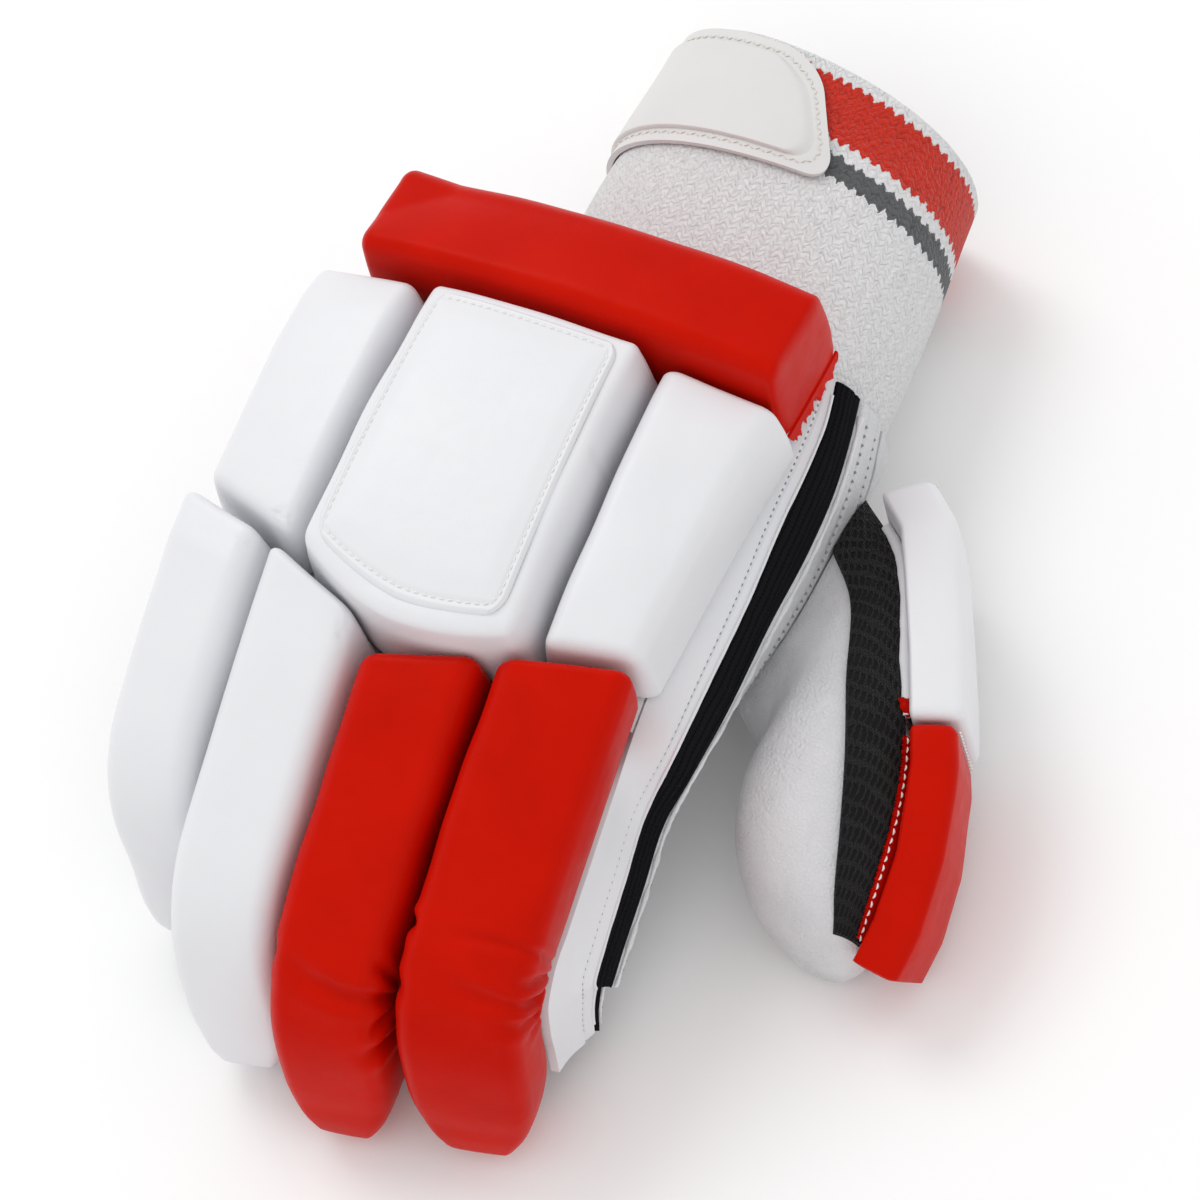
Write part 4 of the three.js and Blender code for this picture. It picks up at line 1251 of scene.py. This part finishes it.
turns = np.linspace(0, 360, 73)[1:]
thumb = wall(
    "thumb_leather", thumb_rows(0, turns), thumb_rows(WALL, turns), THUMB_LEATHER, wrap=True, closed=True
)
finish_piece(thumb, "palm_leather", "thumb_stall")
turns = np.linspace(MESH_FROM, MESH_TO, 24)
net = wall("thumb_net", thumb_rows(-TRIM - GAP, turns, 0, 7), thumb_rows(-GAP, turns, 0, 7), BLACK_MESH)
finish_piece(net, "black_mesh", "thumb_mesh")


def thumb_frame(y):
    outer = np.array([rib[1] for rib in RIB_ROWS])[-2::-1]
    return picked(y, outer[:, 1], outer)


def thumb_pad_point(start, end, wide, height):
    length = float(np.linalg.norm(thumb_frame(np.array(start)) - thumb_frame(np.array(end))))

    def put(local):
        along = np.clip(local[:, 1] / length, 0, 1)
        y = mix(start, end, along)
        at = thumb_frame(y)
        ahead = np.maximum(THUMB_Y - 0.955 * THUMB_LENGTH, y - 12)
        way = unit(thumb_frame(ahead) - thumb_frame(np.minimum(THUMB_Y - 0.071 * THUMB_LENGTH, y + 12)))
        side = unit(np.array([0, 0, 1.0]) - way * way[:, 2:])
        up = unit(np.cross(way, side))
        up = np.where(up[:, :1] < 0, -up, up)
        width = THUMB_PAD_WIDTH * mix(wide[0], wide[1], along)
        lean = 1 - 1.5 * np.clip(local[:, 2] / height, 0, 1) / (width / 2)
        across = local[:, 0] / THUMB_PAD_WIDTH * width * lean
        return at + side * across[:, None] + up * (local[:, 2] + 3 * GAP)[:, None]

    return put, length


for name, start, end, wide, thick, hide, seed in (
    ("upper", 0.071, 0.513, (0.95, 1), 1.05, WHITE, 21),
    ("lower", 0.522, 0.982, (0.98, 0.66), 0.88, RED, 22),
):
    height = THUMB_PAD_HEIGHT * thick
    start, end = THUMB_Y - start * THUMB_LENGTH, THUMB_Y - end * THUMB_LENGTH
    put, length = thumb_pad_point(start, end, wide, height)
    piece = wrapped(
        f"thumb_{name}_foam", THUMB_PAD_WIDTH, length, height, put, hide, (2.6, 1.8, 2.6, 1.2), 1.3,
        seed=seed
    )
    slot = "red_hide" if hide is RED else "white_hide"
    finish_piece(piece, slot, f"thumb_pad_{name}", fill=0.9)
    trim = thumb_rows(-TRIM - GAP - (0.9 if hide is RED else 0.3), np.linspace(20, 46, 14), 0, 7, 160)
    trim = trim[(trim[:, 0, 1] < start - 1) & (trim[:, 0, 1] > end + 0.5)]
    run = np.linspace(0.01, 0.99, 300)
    seam = lambda at: on_grid(trim, run, np.broadcast_to(at, 300), (0.3, 0, 1))
    end_seam = xyz(np.linspace(-0.4, 0.47, 30) * THUMB_PAD_WIDTH, 1.2, height + 0.3)
    if name == "upper":
        piping("thumb_piping", seam(0.28), 1.5, WHITE, slot, sway=0.15)
        sew(
            "thumb_end_stitches", on_cushion(put, end_seam, (0, -0.6, 1)), THREAD, slot, 2.0, 0.2, 0.7, 0.15
        )
        scrap = on_grid(trim, np.linspace(0.9, 0.99, 20), np.full(20, 0.3), (0.3, 0, 1))
        ragged("thumb_scrap", scrap, (-0.6, 0, 0.8), 3.0, RED, "red_hide", 19, 1.6)
    else:
        jag = np.random.default_rng(9).uniform(-0.05, 0.03, 300)
        edge = mix(0.5, 0.93, smooth(run)) + jag
        flange = np.stack([seam(share * edge)[0] for share in np.linspace(0, 1, 10)], axis=1)
        finish_piece(wall("thumb_flange", flange, flange - [0.5, 0, 0.6], RED), slot)
        sew("thumb_edge_stitches", seam(edge - 0.13 - jag), THREAD, slot, 2.2, 0.27, 0.72, 0.05, 8)
        sew(
            "thumb_end_stitches_red", on_cushion(put, end_seam, (0, -0.7, 0.7)), THREAD, slot, 2.3, 0.32,
            0.6, 0.0
        )


# Stage, light and camera

bpy.ops.mesh.primitive_plane_add(size=8, location=(0, 0, 0))
floor = bpy.context.object
floor.name = "floor"
floor.data.materials.append(shader("floor", (0.97, 0.97, 0.97), 0.9, 0.1)[0])

world = bpy.data.worlds.new("world")
bpy.context.scene.world = world
world.use_nodes = True
settle(world.node_tree.nodes["Background"], Color=(1, 1, 1, 1), Strength=0.87)


def lamp(name, spot, size, power, aim=(0, 0, 0.04)):
    data = bpy.data.lights.new(name, "AREA")
    data.shape = "DISK"
    data.size = size
    data.energy = power
    obj = bpy.data.objects.new(name, data)
    bpy.context.scene.collection.objects.link(obj)
    obj.location = spot
    obj.rotation_euler = (Vector(aim) - Vector(spot)).to_track_quat("-Z", "Y").to_euler()


lamp("key", (-1.3, 0.7, 2.0), 1.2, 15)
lamp("fill", (0.9, -0.9, 0.9), 0.9, 0.6)

DISTANCE = 1.15
PIXELS_PER_MM = 4.25
azimuth, elevation, roll = math.radians(42), math.radians(60), math.radians(-19)
level = math.cos(elevation)
back = Vector((math.sin(azimuth) * level, -math.cos(azimuth) * level, math.sin(elevation)))
right = Vector((math.cos(azimuth), math.sin(azimuth), 0))
target = Vector(((-2 + SHIFT[0]) / 1000, (-8 + SHIFT[1]) / 1000, 0.05))
camera_data = bpy.data.cameras.new("camera")
camera_data.sensor_width = 36
camera_data.lens = 36 * DISTANCE * 1000 * PIXELS_PER_MM / 1200
camera_data.clip_start = 0.05
camera = bpy.data.objects.new("camera", camera_data)
bpy.context.scene.collection.objects.link(camera)
axes = Matrix((right, back.cross(right), back)).transposed().to_4x4() @ Matrix.Rotation(roll, 4, "Z")
axes.translation = target + back * DISTANCE
camera.matrix_world = axes
bpy.context.scene.camera = camera
bpy.context.scene.view_settings.view_transform = "Standard"
